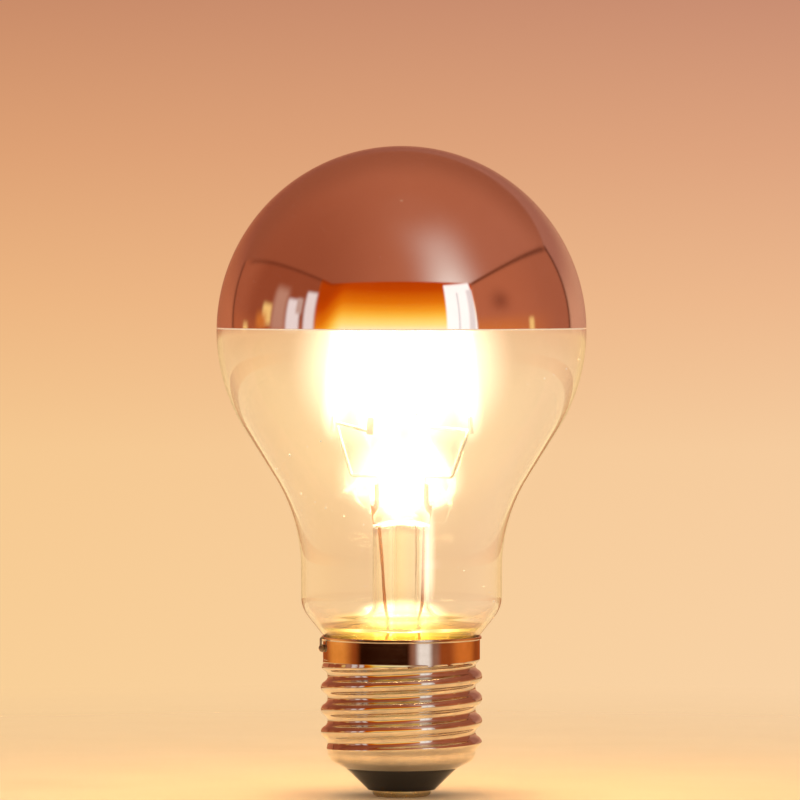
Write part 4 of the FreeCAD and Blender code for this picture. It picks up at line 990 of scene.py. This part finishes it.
def make_glow(name, size, square, strength, colour, place):
    """Painted glow in a rounded shape, which thins out towards its surface: light given off where there is
    no lamp.
    """
    radius, height = size
    paint = Paint(f"glow_{name}")
    paint.tree.nodes.remove(paint.shader)
    parts = paint.node("ShaderNodeSeparateXYZ")
    paint.link(paint.stretched(1 / radius / MM, 1 / radius / MM, 1 / height / MM), parts.inputs[0])
    squares = [paint.math("POWER", parts.outputs[axis], 2.0) for axis in (0, 1)]
    across = paint.math("ADD", *squares)
    along = paint.math("POWER", paint.math("ABSOLUTE", parts.outputs[2]), float(square))
    left = paint.math("MAXIMUM", paint.math("SUBTRACT", 1.0, paint.math("ADD", across, along)), 0.0)
    light = paint.node("ShaderNodeEmission")
    light.inputs["Color"].default_value = (*colour, 1.0)
    paint.link(paint.math("MULTIPLY", paint.math("POWER", left, 1.5), strength), light.inputs["Strength"])
    paint.link(light.outputs[0], paint.output.inputs["Volume"])
    outline = []
    for step in range(25):
        turn = math.pi / 2 - math.pi * step / 24
        level = math.sin(turn)
        outline.append((radius * math.sqrt(max(0.0, 1 - abs(level) ** square)), height * level))
    glow = finish_mesh(f"glow_{name}", lathe(outline, 32, closed=False), paint.material)
    glow.matrix_world = place


for name, middle, size, square, strength, colour in GLOWS:
    make_glow(name, size, square, strength, colour, Matrix.Translation(Vector(middle) * MM))
# Painted glare round each strip.
for number in range(4):
    place = strip_place(number) @ Matrix.Translation((0, 0, LENGTH / 2))
    place.translation *= MM
    make_glow(f"strip_{number + 1}", (3.0, LENGTH / 2 + 2), 6, 420.0, (1.0, 0.86, 0.6), place)


def make_world():
    world = bpy.data.worlds.new("studio")
    scene.world = world
    world.use_nodes = True
    tree = world.node_tree
    tree.nodes.clear()
    place = tree.nodes.new("ShaderNodeTexCoord")
    parts = tree.nodes.new("ShaderNodeSeparateXYZ")
    tree.links.new(place.outputs["Generated"], parts.inputs[0])
    ramp = tree.nodes.new("ShaderNodeValToRGB")
    spread = tree.nodes.new("ShaderNodeMapRange")
    spread.inputs["From Min"].default_value = -0.075
    spread.inputs["From Max"].default_value = 0.045
    tree.links.new(parts.outputs["Z"], spread.inputs["Value"])
    tree.links.new(spread.outputs[0], ramp.inputs["Fac"])
    while len(ramp.color_ramp.elements) < len(BACKDROP):
        ramp.color_ramp.elements.new(0.5)
    for element, (position, colour) in zip(ramp.color_ramp.elements, BACKDROP):
        element.position = position
        element.color = (*colour, 1.0)
    # Painted colour cast across the backdrop: warmer to the left, cooler to the right.
    across = tree.nodes.new("ShaderNodeMapRange")
    across.inputs["From Min"].default_value = -0.06
    across.inputs["From Max"].default_value = 0.06
    tree.links.new(parts.outputs["X"], across.inputs["Value"])
    cast = tree.nodes.new("ShaderNodeMix")
    cast.data_type = "RGBA"
    cast.inputs["A"].default_value = (1.0, 0.985, 0.9, 1.0)
    cast.inputs["B"].default_value = (1.0, 1.02, 1.09, 1.0)
    tree.links.new(across.outputs[0], cast.inputs["Factor"])
    tinted = tree.nodes.new("ShaderNodeMix")
    tinted.data_type = "RGBA"
    tinted.blend_type = "MULTIPLY"
    tinted.inputs["Factor"].default_value = 1.0
    tree.links.new(ramp.outputs["Color"], tinted.inputs["A"])
    tree.links.new(cast.outputs["Result"], tinted.inputs["B"])
    seen = tree.nodes.new("ShaderNodeBackground")
    tree.links.new(tinted.outputs["Result"], seen.inputs["Color"])
    lit = tree.nodes.new("ShaderNodeBackground")
    lit.inputs["Color"].default_value = (*srgb(255, 247, 238), 1.0)
    lit.inputs["Strength"].default_value = 0.95
    path = tree.nodes.new("ShaderNodeLightPath")
    first = tree.nodes.new("ShaderNodeMath")
    first.operation = "MAXIMUM"
    tree.links.new(path.outputs["Is Camera Ray"], first.inputs[0])
    tree.links.new(path.outputs["Is Transmission Ray"], first.inputs[1])
    second = tree.nodes.new("ShaderNodeMath")
    second.operation = "MAXIMUM"
    tree.links.new(first.outputs[0], second.inputs[0])
    tree.links.new(path.outputs["Is Glossy Ray"], second.inputs[1])
    mixer = tree.nodes.new("ShaderNodeMixShader")
    tree.links.new(second.outputs[0], mixer.inputs[0])
    tree.links.new(lit.outputs[0], mixer.inputs[1])
    tree.links.new(seen.outputs[0], mixer.inputs[2])
    output = tree.nodes.new("ShaderNodeOutputWorld")
    tree.links.new(mixer.outputs[0], output.inputs["Surface"])


make_world()
